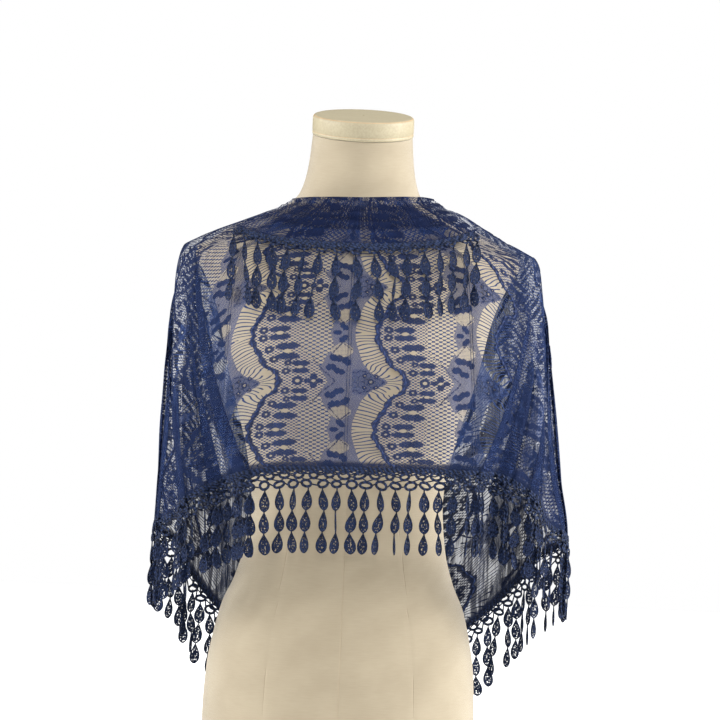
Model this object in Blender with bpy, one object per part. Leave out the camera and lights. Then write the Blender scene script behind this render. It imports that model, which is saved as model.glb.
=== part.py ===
"""Lace shawl worn on a limbless dress form.

The shawl is one oblong of scalloped lace. It crosses the chest, passes over both shoulders and hangs
down behind, where its two ends meet. Its upper edge is turned outward as a collar. Two rows of rings
with strands of three teardrops edge the collar and the hem.

World frame: metres, +Z up, the wearer's front faces -Y, origin under the middle of the bottom board.
Tables give centimetres, with heights counted from the waist.
"""
import math

import bpy
import numpy as np

CM = 0.01
WAIST_HEIGHT = 32.0
WALL = 0.15
SEAM_GAP = 0.03
TRIM_GAP = 0.085

# Lace chart, all in centimetres of flat cloth
LACE_REPEAT = 14.3
LACE_CORD_AT = 6.0
CUSP_RISE = (9.8, 20.7)
WINDOW_COLUMN = (-1.65, -0.75)
WINDOW_NEAR = 0.35
WINDOW_FAR = 1.45
COLUMN_STEPS = (-1.65, -0.75, 1.2, 3.25, 5.3, 7.35, 9.3, 11.1)
ROW_RISES = (0.0, 2.7, 5.5, 8.35, 9.45, 10.15, 11.25, 15.25, 19.25, 20.35, 21.05, 22.15)
UPPER_ROWS = 6
SIDE_STEP = 1.7
FOLDED_WAYS = (14.0, 33.0)

# Collar and trim
COLLAR_DEPTH = 5.2
COLLAR_OFFSET = 0.62
COLLAR_REACH = 58.0
TRIM_PITCH = 1.75
BACK_TRIM_PITCH = 2.15
HEADER_TALL = 0.55
RING_BAR = 0.25
RING_HOLE_WIDE = 1.05
RING_HOLE_TALL = 0.95
TRIM_THICK = 0.16
TEARDROP_LONG = 2.4
TEARDROP_WIDE = 1.0
TEARDROP_THICK = 0.16
TEARDROP_WIDEST = 0.62
STRAND_LINK = 0.35
STRAND_THIN = 0.12
STRAND_SWAY = 0.2
SWAY_FULL_AT = 1.2
EVENING_REACH = 20
LINE_POINTS = 400

# Cap of the neck
CAP_RADIUS = 5.85
CAP_THICK = 2.3
CAP_ROUNDING = 0.35
NECK_TOP = 42.2
NECK_TILT = math.radians(9.0)
TILT_STARTS = 37.0
BOARD_THICK = 1.0
BOARD_INSET = 0.4


def table(names, rows):
    """Turn the rows of a table into one array for each named column."""
    return dict(zip(names.split(), np.array(rows, dtype=float).T))


SHAWL = table("height left right front back power", [
    (-22.0, 21.8, 25.3, 13.0, 14.2, 2.3),
    (-3.2, 21.8, 25.3, 13.0, 13.2, 2.3),
    (4.0, 21.6, 24.1, 13.4, 12.8, 2.3),
    (14.0, 21.5, 23.0, 14.6, 12.7, 2.35),
    (18.0, 21.3, 22.5, 14.7, 12.7, 2.35),
    (22.0, 21.1, 22.0, 13.9, 12.5, 2.35),
    (25.5, 20.9, 21.5, 12.5, 12.0, 2.3),
    (27.5, 20.6, 21.2, 11.4, 11.3, 2.25),
    (28.8, 20.1, 20.6, 10.8, 10.8, 2.2),
    (29.7, 18.6, 19.0, 10.3, 10.3, 2.15),
    (30.7, 16.5, 16.9, 9.8, 9.8, 2.1),
    (32.0, 13.2, 14.6, 9.1, 9.1, 2.0),
    (33.2, 10.4, 12.6, 8.5, 8.4, 2.0),
    (34.3, 8.7, 10.3, 8.0, 7.8, 2.0),
    (35.2, 8.3, 9.2, 7.6, 7.4, 2.0),
])

# Angles run from the centre front, minus to the left, and meet at the centre back.
EDGES = table("angle top hem", [
    (-180, 15.5, -19.6),
    (-168, 17.2, -19.3),
    (-156, 20.1, -18.0),
    (-143, 24.0, -15.1),
    (-126, 29.4, -9.5),
    (-109, 32.8, -5.6),
    (-90, 33.7, -3.4),
    (-75, 34.0, -2.5),
    (-58, 34.3, -0.6),
    (-42, 34.5, 2.3),
    (-30, 34.6, 3.8),
    (-14, 34.7, 4.7),
    (0, 34.75, 4.9),
    (18, 34.9, 5.0),
    (36, 35.0, 4.9),
    (44, 35.0, 4.5),
    (60, 34.9, 1.3),
    (75, 34.6, -1.9),
    (90, 34.2, -3.0),
    (110, 32.8, -5.5),
    (130, 28.4, -9.8),
    (147, 23.2, -15.6),
    (158, 19.6, -18.0),
    (169, 17.0, -19.3),
    (180, 15.5, -19.6),
])

# A fold is a ridge, or with a minus depth a trough, on a line from its top to its bottom.
FOLDS = table("top_angle top_height low_angle low_height width depth", [
    (-60, 24, -27, 3, 5.5, 0.5),
    (-68, 23, -37, 1, 6.0, -1.1),
    (-74, 22, -50, -1, 6.5, 0.8),
    (-82, 20, -66, -2, 6.5, -0.8),
    (58, 22, 31, 4, 6.0, 0.5),
    (64, 21, 41, 4, 6.0, -1.1),
    (72, 20, 54, 0, 6.5, 0.8),
    (80, 19, 68, -3, 7.0, -0.8),
    (-104, 20, -100, -6, 8.0, 0.6),
    (-118, 18, -114, -9, 8.0, -0.8),
    (-132, 16, -130, -12, 8.0, 0.7),
    (-150, 12, -150, -20, 9.0, -0.7),
    (-166, 8, -166, -22, 8.0, 0.7),
    (103, 21, 100, -6, 8.0, 0.6),
    (116, 17, 115, -9, 8.0, -0.8),
    (131, 15, 133, -12, 9.0, 0.8),
    (148, 12, 150, -20, 8.0, -0.7),
    (165, 9, 166, -22, 9.0, 0.6),
])

FORM = table("height side front back power", [
    (-31.0, 15.5, 10.6, 11.4, 2.3),
    (-25.5, 15.8, 10.8, 11.7, 2.3),
    (-19.6, 15.5, 10.7, 11.5, 2.3),
    (-16.0, 14.9, 10.5, 11.1, 2.3),
    (-12.4, 14.0, 10.2, 10.6, 2.3),
    (-9.4, 12.7, 9.8, 9.9, 2.3),
    (-5.9, 11.7, 9.3, 9.2, 2.3),
    (-3.0, 11.3, 9.0, 8.9, 2.3),
    (0.0, 11.1, 8.8, 8.8, 2.3),
    (5.0, 11.8, 9.1, 9.0, 2.3),
    (10.0, 13.1, 10.2, 9.5, 2.3),
    (14.0, 14.2, 11.4, 10.0, 2.3),
    (17.0, 14.9, 12.0, 10.4, 2.3),
    (20.0, 15.5, 11.7, 10.6, 2.3),
    (23.0, 16.4, 10.9, 10.6, 2.3),
    (26.0, 17.8, 9.8, 9.9, 2.2),
    (27.6, 18.7, 9.2, 9.2, 2.1),
    (28.6, 18.6, 8.8, 8.8, 2.0),
    (29.7, 16.9, 8.4, 8.4, 2.0),
    (31.0, 14.9, 7.9, 8.0, 2.0),
    (32.4, 11.7, 7.3, 7.6, 2.0),
    (33.6, 8.8, 6.8, 7.2, 2.0),
    (35.3, 7.0, 6.3, 6.5, 2.0),
    (37.4, 6.3, 5.9, 6.0, 2.0),
    (39.3, 6.0, 5.7, 5.7, 2.0),
    (42.2, 5.75, 5.6, 5.6, 2.0),
])
BUST_AT = (7.2, 16.6)
BUST_SPREAD = 4.4
BUST_RISE = 1.1
FORM_RINGS = 20
FORM_SEGMENTS = 28

MATERIALS = {
    "lace_cloth": ((0.035, 0.055, 0.17), 0.75),
    "lace_fold": ((0.025, 0.04, 0.13), 0.75),
    "navy_trim": ((0.012, 0.02, 0.06), 0.7),
    "cream_cover": ((0.72, 0.66, 0.52), 0.85),
    "beige_cap": ((0.62, 0.54, 0.40), 0.6),
    "board": ((0.45, 0.36, 0.25), 0.7),
}


def smooth(at, known, values):
    """Read a table column between its rows on a curve that never overshoots."""
    at = np.clip(np.asarray(at, dtype=float), known[0], known[-1])
    step = np.diff(known)
    rise = np.diff(values) / step
    slope = np.zeros(len(known))
    slope[0] = rise[0]
    slope[-1] = rise[-1]
    before = rise[:-1]
    after = rise[1:]
    same_way = before * after > 0
    both = np.where(same_way, before + after, 1.0)
    slope[1:-1] = np.where(same_way, 2.0 * before * after / both, 0.0)
    cell = np.clip(np.searchsorted(known, at, side="right") - 1, 0, len(step) - 1)
    part = (at - known[cell]) / step[cell]
    square = part * part
    cube = square * part
    start = (2 * cube - 3 * square + 1) * values[cell]
    finish = (3 * square - 2 * cube) * values[cell + 1]
    leave = (cube - 2 * square + part) * slope[cell] * step[cell]
    arrive = (cube - square) * slope[cell + 1] * step[cell]
    return start + finish + leave + arrive


def section_point(angle, side, front, back, power):
    """Give x and y on a section, a stretched circle that is flatter at its front and back."""
    turn = np.radians(angle)
    across = np.sin(turn)
    along = np.cos(turn)
    x = np.sign(across) * np.abs(across) ** (2.0 / power) * side
    depth = np.where(along > 0, front, back)
    y = -np.sign(along) * np.abs(along) ** (2.0 / power) * depth
    return x, y


def fold_depth(angle, height):
    """Add up how far the folds lift the cloth at a place."""
    total = np.zeros(np.broadcast(angle, height).shape)
    for top_angle, top_height, low_angle, low_height, width, depth in zip(*FOLDS.values()):
        down = (top_height - height) / (top_height - low_height)
        line = top_angle + (low_angle - top_angle) * np.clip(down, 0.0, 1.3)
        growth = np.clip(down + 0.25, 0.0, 1.0)
        growth = growth * growth * (3 - 2 * growth)
        total = total + depth * growth * np.exp(-((angle - line) / width) ** 2)
    return total


def plain_point(angle, height):
    """Give the cloth's outer surface without its folds."""
    side = np.where(angle < 0, smooth(height, SHAWL["height"], SHAWL["left"]),
                    smooth(height, SHAWL["height"], SHAWL["right"]))
    front = smooth(height, SHAWL["height"], SHAWL["front"])
    back = smooth(height, SHAWL["height"], SHAWL["back"])
    power = smooth(height, SHAWL["height"], SHAWL["power"])
    return section_point(angle, side, front, back, power)


def folded_point(angle, height):
    """Give the cloth's outer surface, in centimetres."""
    angle = np.asarray(angle, dtype=float)
    height = np.asarray(height, dtype=float)
    angle, height = np.broadcast_arrays(angle, height)
    x, y = plain_point(angle, height)
    nudge = 0.5
    ahead_x, ahead_y = plain_point(angle + nudge, height)
    behind_x, behind_y = plain_point(angle - nudge, height)
    run_x = ahead_x - behind_x
    run_y = ahead_y - behind_y
    length = np.hypot(run_x, run_y)
    lift = fold_depth(angle, height)
    return np.stack([x + lift * run_y / length, y - lift * run_x / length, height], axis=-1)


def drape(angle, height, outward=0.0):
    """Give points of the cloth, moved out along its own normal."""
    point = folded_point(angle, height)
    nudge_angle = 0.4
    nudge_height = 0.15
    around = folded_point(angle + nudge_angle, height) - folded_point(angle - nudge_angle, height)
    up = folded_point(angle, height + nudge_height) - folded_point(angle, height - nudge_height)
    normal = np.cross(around, up)
    normal = normal / np.linalg.norm(normal, axis=-1, keepdims=True)
    return point + normal * np.asarray(outward)[..., None]


# The way along the cloth is measured round it at one height
REFERENCE_HEIGHT = 14.0
FINE_ANGLES = np.linspace(-180.0, 180.0, 1441)


def path_lengths(points):
    """Measure the way along a row of points from its first one."""
    steps = np.linalg.norm(np.diff(points, axis=0), axis=1)
    return np.concatenate([[0.0], np.cumsum(steps)])


PLAIN_RING = np.stack(plain_point(FINE_ANGLES, np.full(FINE_ANGLES.shape, REFERENCE_HEIGHT)), axis=-1)
RING_WAY = path_lengths(PLAIN_RING)
RING_WAY = RING_WAY - np.interp(0.0, FINE_ANGLES, RING_WAY)


def angle_at(way):
    """Turn a way along the cloth from the centre front into an angle."""
    return np.interp(way, RING_WAY, FINE_ANGLES)


def way_at(angle):
    """Turn an angle into the way along the cloth from the centre front."""
    return np.interp(angle, FINE_ANGLES, RING_WAY)


def top_of(angle):
    return smooth(angle, EDGES["angle"], EDGES["top"])


def hem_of(angle):
    return smooth(angle, EDGES["angle"], EDGES["hem"])


def column_heights(angle):
    """Give the heights of a column's rows, spaced along the cloth from the hem up."""
    fine = np.linspace(hem_of(angle), top_of(angle), 160)
    way = path_lengths(drape(np.full(fine.shape, angle), fine))
    upper = np.linspace(ROW_RISES[-1], way[-1], UPPER_ROWS + 1)[1:]
    return np.interp(np.concatenate([ROW_RISES, upper]), way, fine)


def column_ways(start, end):
    """Place the grid's columns from one seam to the next, with a pair at each window band."""
    ways = []
    first = int(math.floor((start - LACE_CORD_AT) / LACE_REPEAT)) - 1
    last = int(math.ceil((end - LACE_CORD_AT) / LACE_REPEAT)) + 1
    for repeat in range(first, last + 1):
        for step in COLUMN_STEPS:
            ways.append(LACE_CORD_AT + repeat * LACE_REPEAT + step)
    inside = [way for way in ways if start + 0.5 < way < end - 0.5]
    ways = [start] + inside + [end]
    full = []
    for here, after in zip(ways[:-1], ways[1:]):
        full.append(here)
        folded = FOLDED_WAYS[0] < abs(0.5 * (here + after)) < FOLDED_WAYS[1]
        if folded and after - here > SIDE_STEP:
            full.append(0.5 * (here + after))
    full.append(end)
    return full


def is_window(left, right, low, high):
    """Say whether a cell is one of the clear almond gaps beside a cusp."""
    middle = 0.5 * (left + right)
    along = (middle - LACE_CORD_AT) % LACE_REPEAT - LACE_REPEAT
    in_band = WINDOW_COLUMN[0] < along < WINDOW_COLUMN[1]
    rise = 0.5 * (low + high)
    near_cusp = [WINDOW_NEAR < abs(rise - cusp) < WINDOW_FAR for cusp in CUSP_RISE]
    return in_band and right - left < 1.0 and any(near_cusp)


def make_material(name):
    colour, roughness = MATERIALS[name]
    material = bpy.data.materials.get(name) or bpy.data.materials.new(name)
    material.use_nodes = True
    shader = material.node_tree.nodes["Principled BSDF"]
    shader.inputs["Base Color"].default_value = (*colour, 1.0)
    shader.inputs["Roughness"].default_value = roughness
    shader.inputs["Metallic"].default_value = 0.0
    material.diffuse_color = (*colour, 1.0)
    return material


def make_object(name, points, faces, material):
    """Make a named object from points in centimetres over the waist."""
    points = np.array(points, dtype=float).reshape(-1, 3)
    points = (points + np.array([0.0, 0.0, WAIST_HEIGHT])) * CM
    mesh = bpy.data.meshes.new(name)
    mesh.from_pydata(points.tolist(), [], faces)
    mesh.validate()
    mesh.update()
    mesh.materials.append(make_material(material))
    mesh.shade_smooth()
    mesh.set_sharp_from_angle(angle=math.radians(50.0))
    thing = bpy.data.objects.new(name, mesh)
    bpy.context.scene.collection.objects.link(thing)
    return thing


def wall(name, outer, inner, present, material):
    """Make one closed wall from two grids of points, leaving out the cells that aren't present."""
    rows, columns = outer.shape[:2]
    number = {}
    points = []
    faces = []

    def corner(row, column, layer):
        key = (row, column, layer)
        if key not in number:
            number[key] = len(points)
            points.append((outer if layer == 0 else inner)[row, column])
        return number[key]

    def has(row, column):
        return 0 <= row < rows - 1 and 0 <= column < columns - 1 and present[row, column]

    for row in range(rows - 1):
        for column in range(columns - 1):
            if not has(row, column):
                continue
            ring = [(row, column), (row, column + 1), (row + 1, column + 1), (row + 1, column)]
            out = [corner(*place, 0) for place in ring]
            back = [corner(*place, 1) for place in ring]
            spots = [outer[place] for place in ring]
            rising = np.linalg.norm(spots[0] - spots[2])
            falling = np.linalg.norm(spots[1] - spots[3])
            split = ((0, 1, 2), (0, 2, 3)) if rising <= falling else ((0, 1, 3), (1, 2, 3))
            for a, b, c in split:
                faces += [(out[a], out[b], out[c]), (back[a], back[c], back[b])]
            beside = [(row - 1, column), (row, column + 1), (row + 1, column), (row, column - 1)]
            for edge, neighbour in enumerate(beside):
                if not has(*neighbour):
                    after = (edge + 1) % 4
                    faces += [(out[edge], back[edge], back[after]), (out[edge], back[after], out[after])]
    return make_object(name, points, faces, material)


def cloth_stretch(name, start, end):
    """Make one stretch of the lace between two seams, with its largest gaps cut through."""
    ways = column_ways(start + SEAM_GAP / 2, end - SEAM_GAP / 2)
    angles = angle_at(np.array(ways))
    heights = np.stack([column_heights(angle) for angle in angles], axis=1)
    grid = np.broadcast_to(angles, heights.shape)
    outer = drape(grid, heights)
    inner = drape(grid, heights, -WALL)
    rises = list(ROW_RISES)
    rows, columns = heights.shape
    present = np.ones((rows - 1, columns - 1), dtype=bool)
    for row in range(len(rises) - 1):
        for column in range(1, columns - 2):
            cell = (ways[column], ways[column + 1], rises[row], rises[row + 1])
            present[row, column] = not is_window(*cell)
    return wall(name, outer, inner, present, "lace_cloth")


COLLAR_PROFILE = table("outward down", [
    (-0.12, -SEAM_GAP),
    (0.12, -0.28),
    (0.45, -0.2),
    (0.6, 0.25),
    (COLLAR_OFFSET, 1.4),
    (COLLAR_OFFSET, 2.7),
    (COLLAR_OFFSET, 4.0),
    (COLLAR_OFFSET, COLLAR_DEPTH),
])


def collar_point(angle, outward, down):
    """Give a point of the collar: over the cloth's upper edge first, and down its outside after it."""
    top = top_of(angle)
    reach = np.where(down > 0, down * (1.0 - 0.35 * (angle / COLLAR_REACH) ** 2), 0.0)
    base = drape(angle, top - reach, outward)
    rise = np.where(down < 0, -down, 0.0)
    lift = np.stack([rise * 0.0, rise * 0.0, rise], axis=-1)
    return base + lift


def make_collar():
    ways = np.linspace(way_at(-COLLAR_REACH), way_at(COLLAR_REACH), 27)
    angles = angle_at(ways)
    outward, turn = np.meshgrid(COLLAR_PROFILE["outward"], angles, indexing="ij")
    down = np.meshgrid(COLLAR_PROFILE["down"], angles, indexing="ij")[0]
    outer = collar_point(turn, outward, down)
    run = np.gradient(outer, axis=0)
    around = np.gradient(outer, axis=1)
    normal = np.cross(run, around)
    normal = normal / np.linalg.norm(normal, axis=-1, keepdims=True)
    normal[0] = np.array([0.0, 0.0, 1.0])
    outer = outer + normal * np.where(np.arange(len(outer)) == 0, WALL, 0.0)[:, None, None]
    inner = outer - normal * WALL
    present = np.ones((outer.shape[0] - 1, outer.shape[1] - 1), dtype=bool)
    return wall("collar_fold", outer[::-1], inner[::-1], present, "lace_fold")


def straight_below(root, height, outward):
    """Find the cloth's outside straight below a point, as a hanging strand meets it."""
    near = np.linspace(-75.0, 75.0, 301)
    heights = np.full(near.shape, height)
    ring = drape(near, heights, np.full(near.shape, outward))
    return np.array([root[0], np.interp(root[0], ring[:, 0], ring[:, 1]), height])


def outward_at(angle, height):
    """Give the direction straight out of the cloth."""
    step = drape(angle, height, np.full(np.shape(angle), 0.1)) - folded_point(angle, height)
    return step / np.linalg.norm(step, axis=-1, keepdims=True)


def hem_line(start, end):
    """Follow the hem between two ways along the cloth."""
    angles = np.linspace(angle_at(start), angle_at(end), LINE_POINTS)
    heights = hem_of(angles)
    return drape(angles, heights, -WALL / 2), outward_at(angles, heights)


def collar_line(start, end):
    """Follow the collar's lower edge, at the middle of its wall."""
    angles = np.linspace(angle_at(start), angle_at(end), LINE_POINTS)
    down = np.full(angles.shape, COLLAR_DEPTH)
    edge = collar_point(angles, COLLAR_OFFSET - WALL / 2, down)
    return edge, outward_at(angles, edge[:, 2])


def trim(name, line, start, end, pitch_wanted=TRIM_PITCH, hugs_cloth=False):
    """Make one strip of two rows of rings with a strand of teardrops under each ring."""
    edge, outward = line(start, end)
    way = path_lengths(edge)
    usable = way[-1] - 2 * SEAM_GAP
    count = max(1, int(round((usable - RING_BAR) / pitch_wanted)))
    pitch = (usable - RING_BAR) / count
    tangents = np.gradient(edge, axis=0)
    tangents = tangents / np.linalg.norm(tangents, axis=1, keepdims=True)
    kernel = np.ones(2 * EVENING_REACH + 1) / (2 * EVENING_REACH + 1)
    padded = np.pad(tangents, ((EVENING_REACH, EVENING_REACH), (0, 0)), mode="edge")
    tangents = np.stack([np.convolve(padded[:, axis], kernel, mode="valid") for axis in range(3)], axis=1)

    def frame_at(place):
        spot = np.array([np.interp(place, way, edge[:, axis]) for axis in range(3)])
        along = np.array([np.interp(place, way, tangents[:, axis]) for axis in range(3)])
        along = along / np.linalg.norm(along)
        out = np.array([np.interp(place, way, outward[:, axis]) for axis in range(3)])
        down = np.cross(along, out)
        down = down / np.linalg.norm(down)
        out = np.cross(down, along)
        return spot, along, out, down

    points = []
    faces = []

    def strip_point(place, depth, layer):
        spot, along, out, down = frame_at(place)
        spot = spot + down * (depth + TRIM_GAP)
        points.append(spot + out * (0.5 - layer) * TRIM_THICK)
        return len(points) - 1

    margin = (pitch - RING_HOLE_WIDE) / 2
    middle = pitch / 2
    levels = [0.0, HEADER_TALL, HEADER_TALL + RING_HOLE_TALL]
    levels += [levels[2] + RING_BAR, levels[2] + RING_BAR + RING_HOLE_TALL]
    levels += [levels[4] + RING_BAR]
    half_root = STRAND_THIN
    columns = []
    for cell in range(count):
        begin = SEAM_GAP + RING_BAR / 2 + cell * pitch
        columns.append((begin, "left"))
        columns.append((begin + margin, "hole"))
        columns.append((begin + middle - half_root, "root"))
        columns.append((begin + middle + half_root, "root"))
        columns.append((begin + pitch - margin, "hole"))
    columns.append((SEAM_GAP + RING_BAR / 2 + count * pitch, "left"))
    wanted = {"left": (0, 5), "hole": (1, 2, 3, 4), "root": (5,)}
    number = {}
    for index, (place, kind) in enumerate(columns):
        for level in wanted[kind]:
            for layer in (0, 1):
                number[index, level, layer] = strip_point(place, levels[level], layer)

    def both(*corners):
        """Add one flat piece on the strip's front and the same on its back."""
        front = [number[(*place, 0)] for place in corners]
        back = [number[(*place, 1)] for place in corners]
        for after in range(1, len(corners) - 1):
            faces.append((front[0], front[after], front[after + 1]))
            faces.append((back[0], back[after + 1], back[after]))

    def side(first, second):
        """Close the strip between its front and its back along one edge."""
        a, b = number[(*first, 0)], number[(*second, 0)]
        c, d = number[(*second, 1)], number[(*first, 1)]
        faces.append((a, d, c))
        faces.append((a, c, b))

    strands = []
    for cell in range(count):
        here = cell * 5
        left, hole_a, root_a, root_b, hole_b, right = range(here, here + 6)
        both((left, 0), (hole_a, 1), (hole_b, 1), (right, 0))
        both((left, 0), (left, 5), (hole_a, 4), (hole_a, 3), (hole_a, 2), (hole_a, 1))
        both((right, 0), (hole_b, 1), (hole_b, 2), (hole_b, 3), (hole_b, 4), (right, 5))
        both((hole_a, 2), (hole_a, 3), (hole_b, 3), (hole_b, 2))
        both((left, 5), (root_a, 5), (hole_a, 4))
        both((root_a, 5), (root_b, 5), (hole_b, 4), (hole_a, 4))
        both((root_b, 5), (right, 5), (hole_b, 4))
        for upper, lower in ((1, 2), (3, 4)):
            side((hole_a, lower), (hole_a, upper))
            side((hole_a, upper), (hole_b, upper))
            side((hole_b, upper), (hole_b, lower))
            side((hole_b, lower), (hole_a, lower))
        side((left, 5), (root_a, 5))
        side((root_b, 5), (right, 5))
        side((right, 0), (left, 0))
        strands.append((root_a, root_b, columns[root_a][0] + half_root))
    last = count * 5
    side((0, 0), (0, 5))
    side((last, 5), (last, 0))

    def strand(root_a, root_b, place, sway):
        """Hang three teardrops, one under the other, from the middle of a ring's lower bar."""
        spot, along, out, down = frame_at(place)
        level = np.array([along[0], along[1], 0.0])
        level = level / np.linalg.norm(level)
        out = np.array([level[1], -level[0], 0.0])
        root = spot + down * (levels[5] + TRIM_GAP)
        ring = [number[root_a, 5, 0], number[root_b, 5, 0], number[root_b, 5, 1], number[root_a, 5, 1]]
        stations = []
        for drop in range(3):
            top = STRAND_LINK + drop * TEARDROP_LONG
            if drop > 0:
                stations.append((top, STRAND_THIN * 0.6, STRAND_THIN * 0.6))
            widest = top + TEARDROP_WIDEST * TEARDROP_LONG
            stations.append((widest, TEARDROP_WIDE / 2, TEARDROP_THICK / 2))
        for fall, wide, thick in stations:
            centre = root - np.array([0.0, 0.0, fall])
            if hugs_cloth:
                centre = straight_below(root, centre[2], COLLAR_OFFSET + 0.1)
            centre = centre + out * sway * min(1.0, fall / SWAY_FULL_AT)
            new = []
            for step_along, step_out in ((-1, 1), (1, 1), (1, -1), (-1, -1)):
                points.append(centre + level * step_along * wide + out * step_out * thick)
                new.append(len(points) - 1)
            for edge in range(4):
                after = (edge + 1) % 4
                faces.append((ring[edge], new[edge], new[after]))
                faces.append((ring[edge], new[after], ring[after]))
            ring = new
        tip = root - np.array([0.0, 0.0, STRAND_LINK + 3 * TEARDROP_LONG])
        if hugs_cloth:
            tip = straight_below(root, tip[2], COLLAR_OFFSET + 0.1)
        points.append(tip + out * sway)
        for edge in range(4):
            faces.append((ring[edge], len(points) - 1, ring[(edge + 1) % 4]))

    for index, (root_a, root_b, place) in enumerate(strands):
        strand(root_a, root_b, place, STRAND_SWAY if index % 2 else -STRAND_SWAY)
    return make_object(name, points, faces, "navy_trim")


def form_ring(height, inset=0.0):
    """Give one ring of the torso, with its bust and its tilted neck."""
    angles = np.arange(FORM_SEGMENTS) * 360.0 / FORM_SEGMENTS
    heights = np.full(angles.shape, height)
    row = {name: smooth(heights, FORM["height"], FORM[name]) for name in FORM}
    x, y = section_point(angles, row["side"] - inset, row["front"] - inset, row["back"] - inset,
                         row["power"])
    away = ((np.abs(x) - BUST_AT[0]) ** 2 + (heights - BUST_AT[1]) ** 2) / BUST_SPREAD ** 2
    y = y - np.where(y < 0, BUST_RISE * np.exp(-away), 0.0)
    share = np.clip((height - TILT_STARTS) / (NECK_TOP - TILT_STARTS), 0.0, 1.0)
    z = heights + y * math.tan(NECK_TILT) * share
    return np.stack([x, y, z], axis=-1)


def stacked_rings(name, rings, material):
    """Close a stack of rings, the first at the bottom, into one solid."""
    count = len(rings[0])
    points = np.concatenate(rings)
    faces = []
    for level in range(len(rings) - 1):
        for place in range(count):
            after = (place + 1) % count
            low, low_next = level * count + place, level * count + after
            faces.append((low, low_next, low_next + count, low + count))
    faces.append(tuple(reversed(range(count))))
    faces.append(tuple(range((len(rings) - 1) * count, len(rings) * count)))
    return make_object(name, points, faces, material)


def make_form():
    bottom = FORM["height"][0] + SEAM_GAP
    even = np.linspace(bottom, NECK_TOP, FORM_RINGS)
    steep = np.array([28.0, 28.8, 30.2, 31.4, 32.5, 33.6])
    heights = np.sort(np.concatenate([even, steep]))
    keep = np.concatenate([[True], np.diff(heights) > 0.4])
    heights = heights[keep]
    heights[-1] = NECK_TOP
    stacked_rings("dress_form", [form_ring(height) for height in heights], "cream_cover")


def make_cap():
    """Make the neck's cap, square to the tilted neck."""
    angles = np.radians(np.arange(FORM_SEGMENTS) * 360.0 / FORM_SEGMENTS)
    profile = [(0.0, 0.12), (0.12, 0.0), (CAP_THICK - CAP_ROUNDING, 0.0)]
    profile += [(CAP_THICK - 0.1, 0.12), (CAP_THICK, CAP_ROUNDING)]
    rings = []
    for up, inset in profile:
        radius = CAP_RADIUS - inset
        x = np.sin(angles) * radius
        y = -np.cos(angles) * radius
        rise = up + SEAM_GAP
        turned_y = y * math.cos(NECK_TILT) - rise * math.sin(NECK_TILT)
        turned_z = y * math.sin(NECK_TILT) + rise * math.cos(NECK_TILT)
        rings.append(np.stack([x, turned_y, turned_z + NECK_TOP], axis=-1))
    stacked_rings("neck_cap", rings, "beige_cap")


def make_board():
    """Make the bottom board, flush with the floor."""
    low = form_ring(FORM["height"][0], BOARD_INSET)
    low[:, 2] = -WAIST_HEIGHT
    high = low.copy()
    high[:, 2] = -WAIST_HEIGHT + BOARD_THICK
    stacked_rings("form_base", [low, high], "board")


def main():
    for thing in list(bpy.data.objects):
        bpy.data.objects.remove(thing, do_unlink=True)
    make_board()
    make_form()
    make_cap()
    ends = (float(RING_WAY[0]) + 0.3, float(RING_WAY[-1]) - 0.3)
    seams = {
        "back_left": (ends[0], float(way_at(-112.0))),
        "side_left": (float(way_at(-112.0)), float(way_at(-68.0))),
        "front": (float(way_at(-68.0)), float(way_at(68.0))),
        "side_right": (float(way_at(68.0)), float(way_at(112.0))),
        "back_right": (float(way_at(112.0)), ends[1]),
    }
    for stretch, (start, end) in seams.items():
        cloth_stretch("shawl_" + stretch, start, end)
        pitch = BACK_TRIM_PITCH if "back" in stretch else TRIM_PITCH
        trim("trim_" + stretch, hem_line, start + SEAM_GAP, end - SEAM_GAP, pitch)
    make_collar()
    reach = COLLAR_REACH - 5.0
    trim("trim_collar", collar_line, float(way_at(-reach)), float(way_at(reach)), hugs_cloth=True)


main()
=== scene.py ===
"""Lace shawl on its dress form, dressed over the solids of the part.

Cloth sizes are in centimetres. Heights count from the waist of the form, which is 32 cm above the floor.
"way" is a place along the cloth from the centre front, "rise" a place up the cloth from its hem.
"""

import math

import bpy
import numpy as np
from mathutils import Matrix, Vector


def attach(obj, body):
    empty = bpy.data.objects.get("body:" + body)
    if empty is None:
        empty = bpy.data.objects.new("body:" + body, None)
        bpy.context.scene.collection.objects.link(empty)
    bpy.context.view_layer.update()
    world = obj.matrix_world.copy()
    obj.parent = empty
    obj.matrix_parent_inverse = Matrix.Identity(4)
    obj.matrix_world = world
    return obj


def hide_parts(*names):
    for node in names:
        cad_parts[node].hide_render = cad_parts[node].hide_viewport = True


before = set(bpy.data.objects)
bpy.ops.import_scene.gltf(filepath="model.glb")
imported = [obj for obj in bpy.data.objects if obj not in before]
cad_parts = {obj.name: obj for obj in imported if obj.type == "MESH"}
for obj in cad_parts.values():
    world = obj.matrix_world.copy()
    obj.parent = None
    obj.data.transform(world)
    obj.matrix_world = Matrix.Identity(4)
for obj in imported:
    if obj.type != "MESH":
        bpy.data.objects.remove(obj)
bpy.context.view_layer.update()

CM = 0.01
WAIST_HEIGHT = 32.0
SHELL_SINK = -0.075
UP = np.array([0.0, 0.0, 1.0])
chance = np.random.default_rng(41)


def table(names, rows):
    """Turn the rows of a table into one array for each named column."""
    return dict(zip(names.split(), np.array(rows, dtype=float).T))


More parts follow.
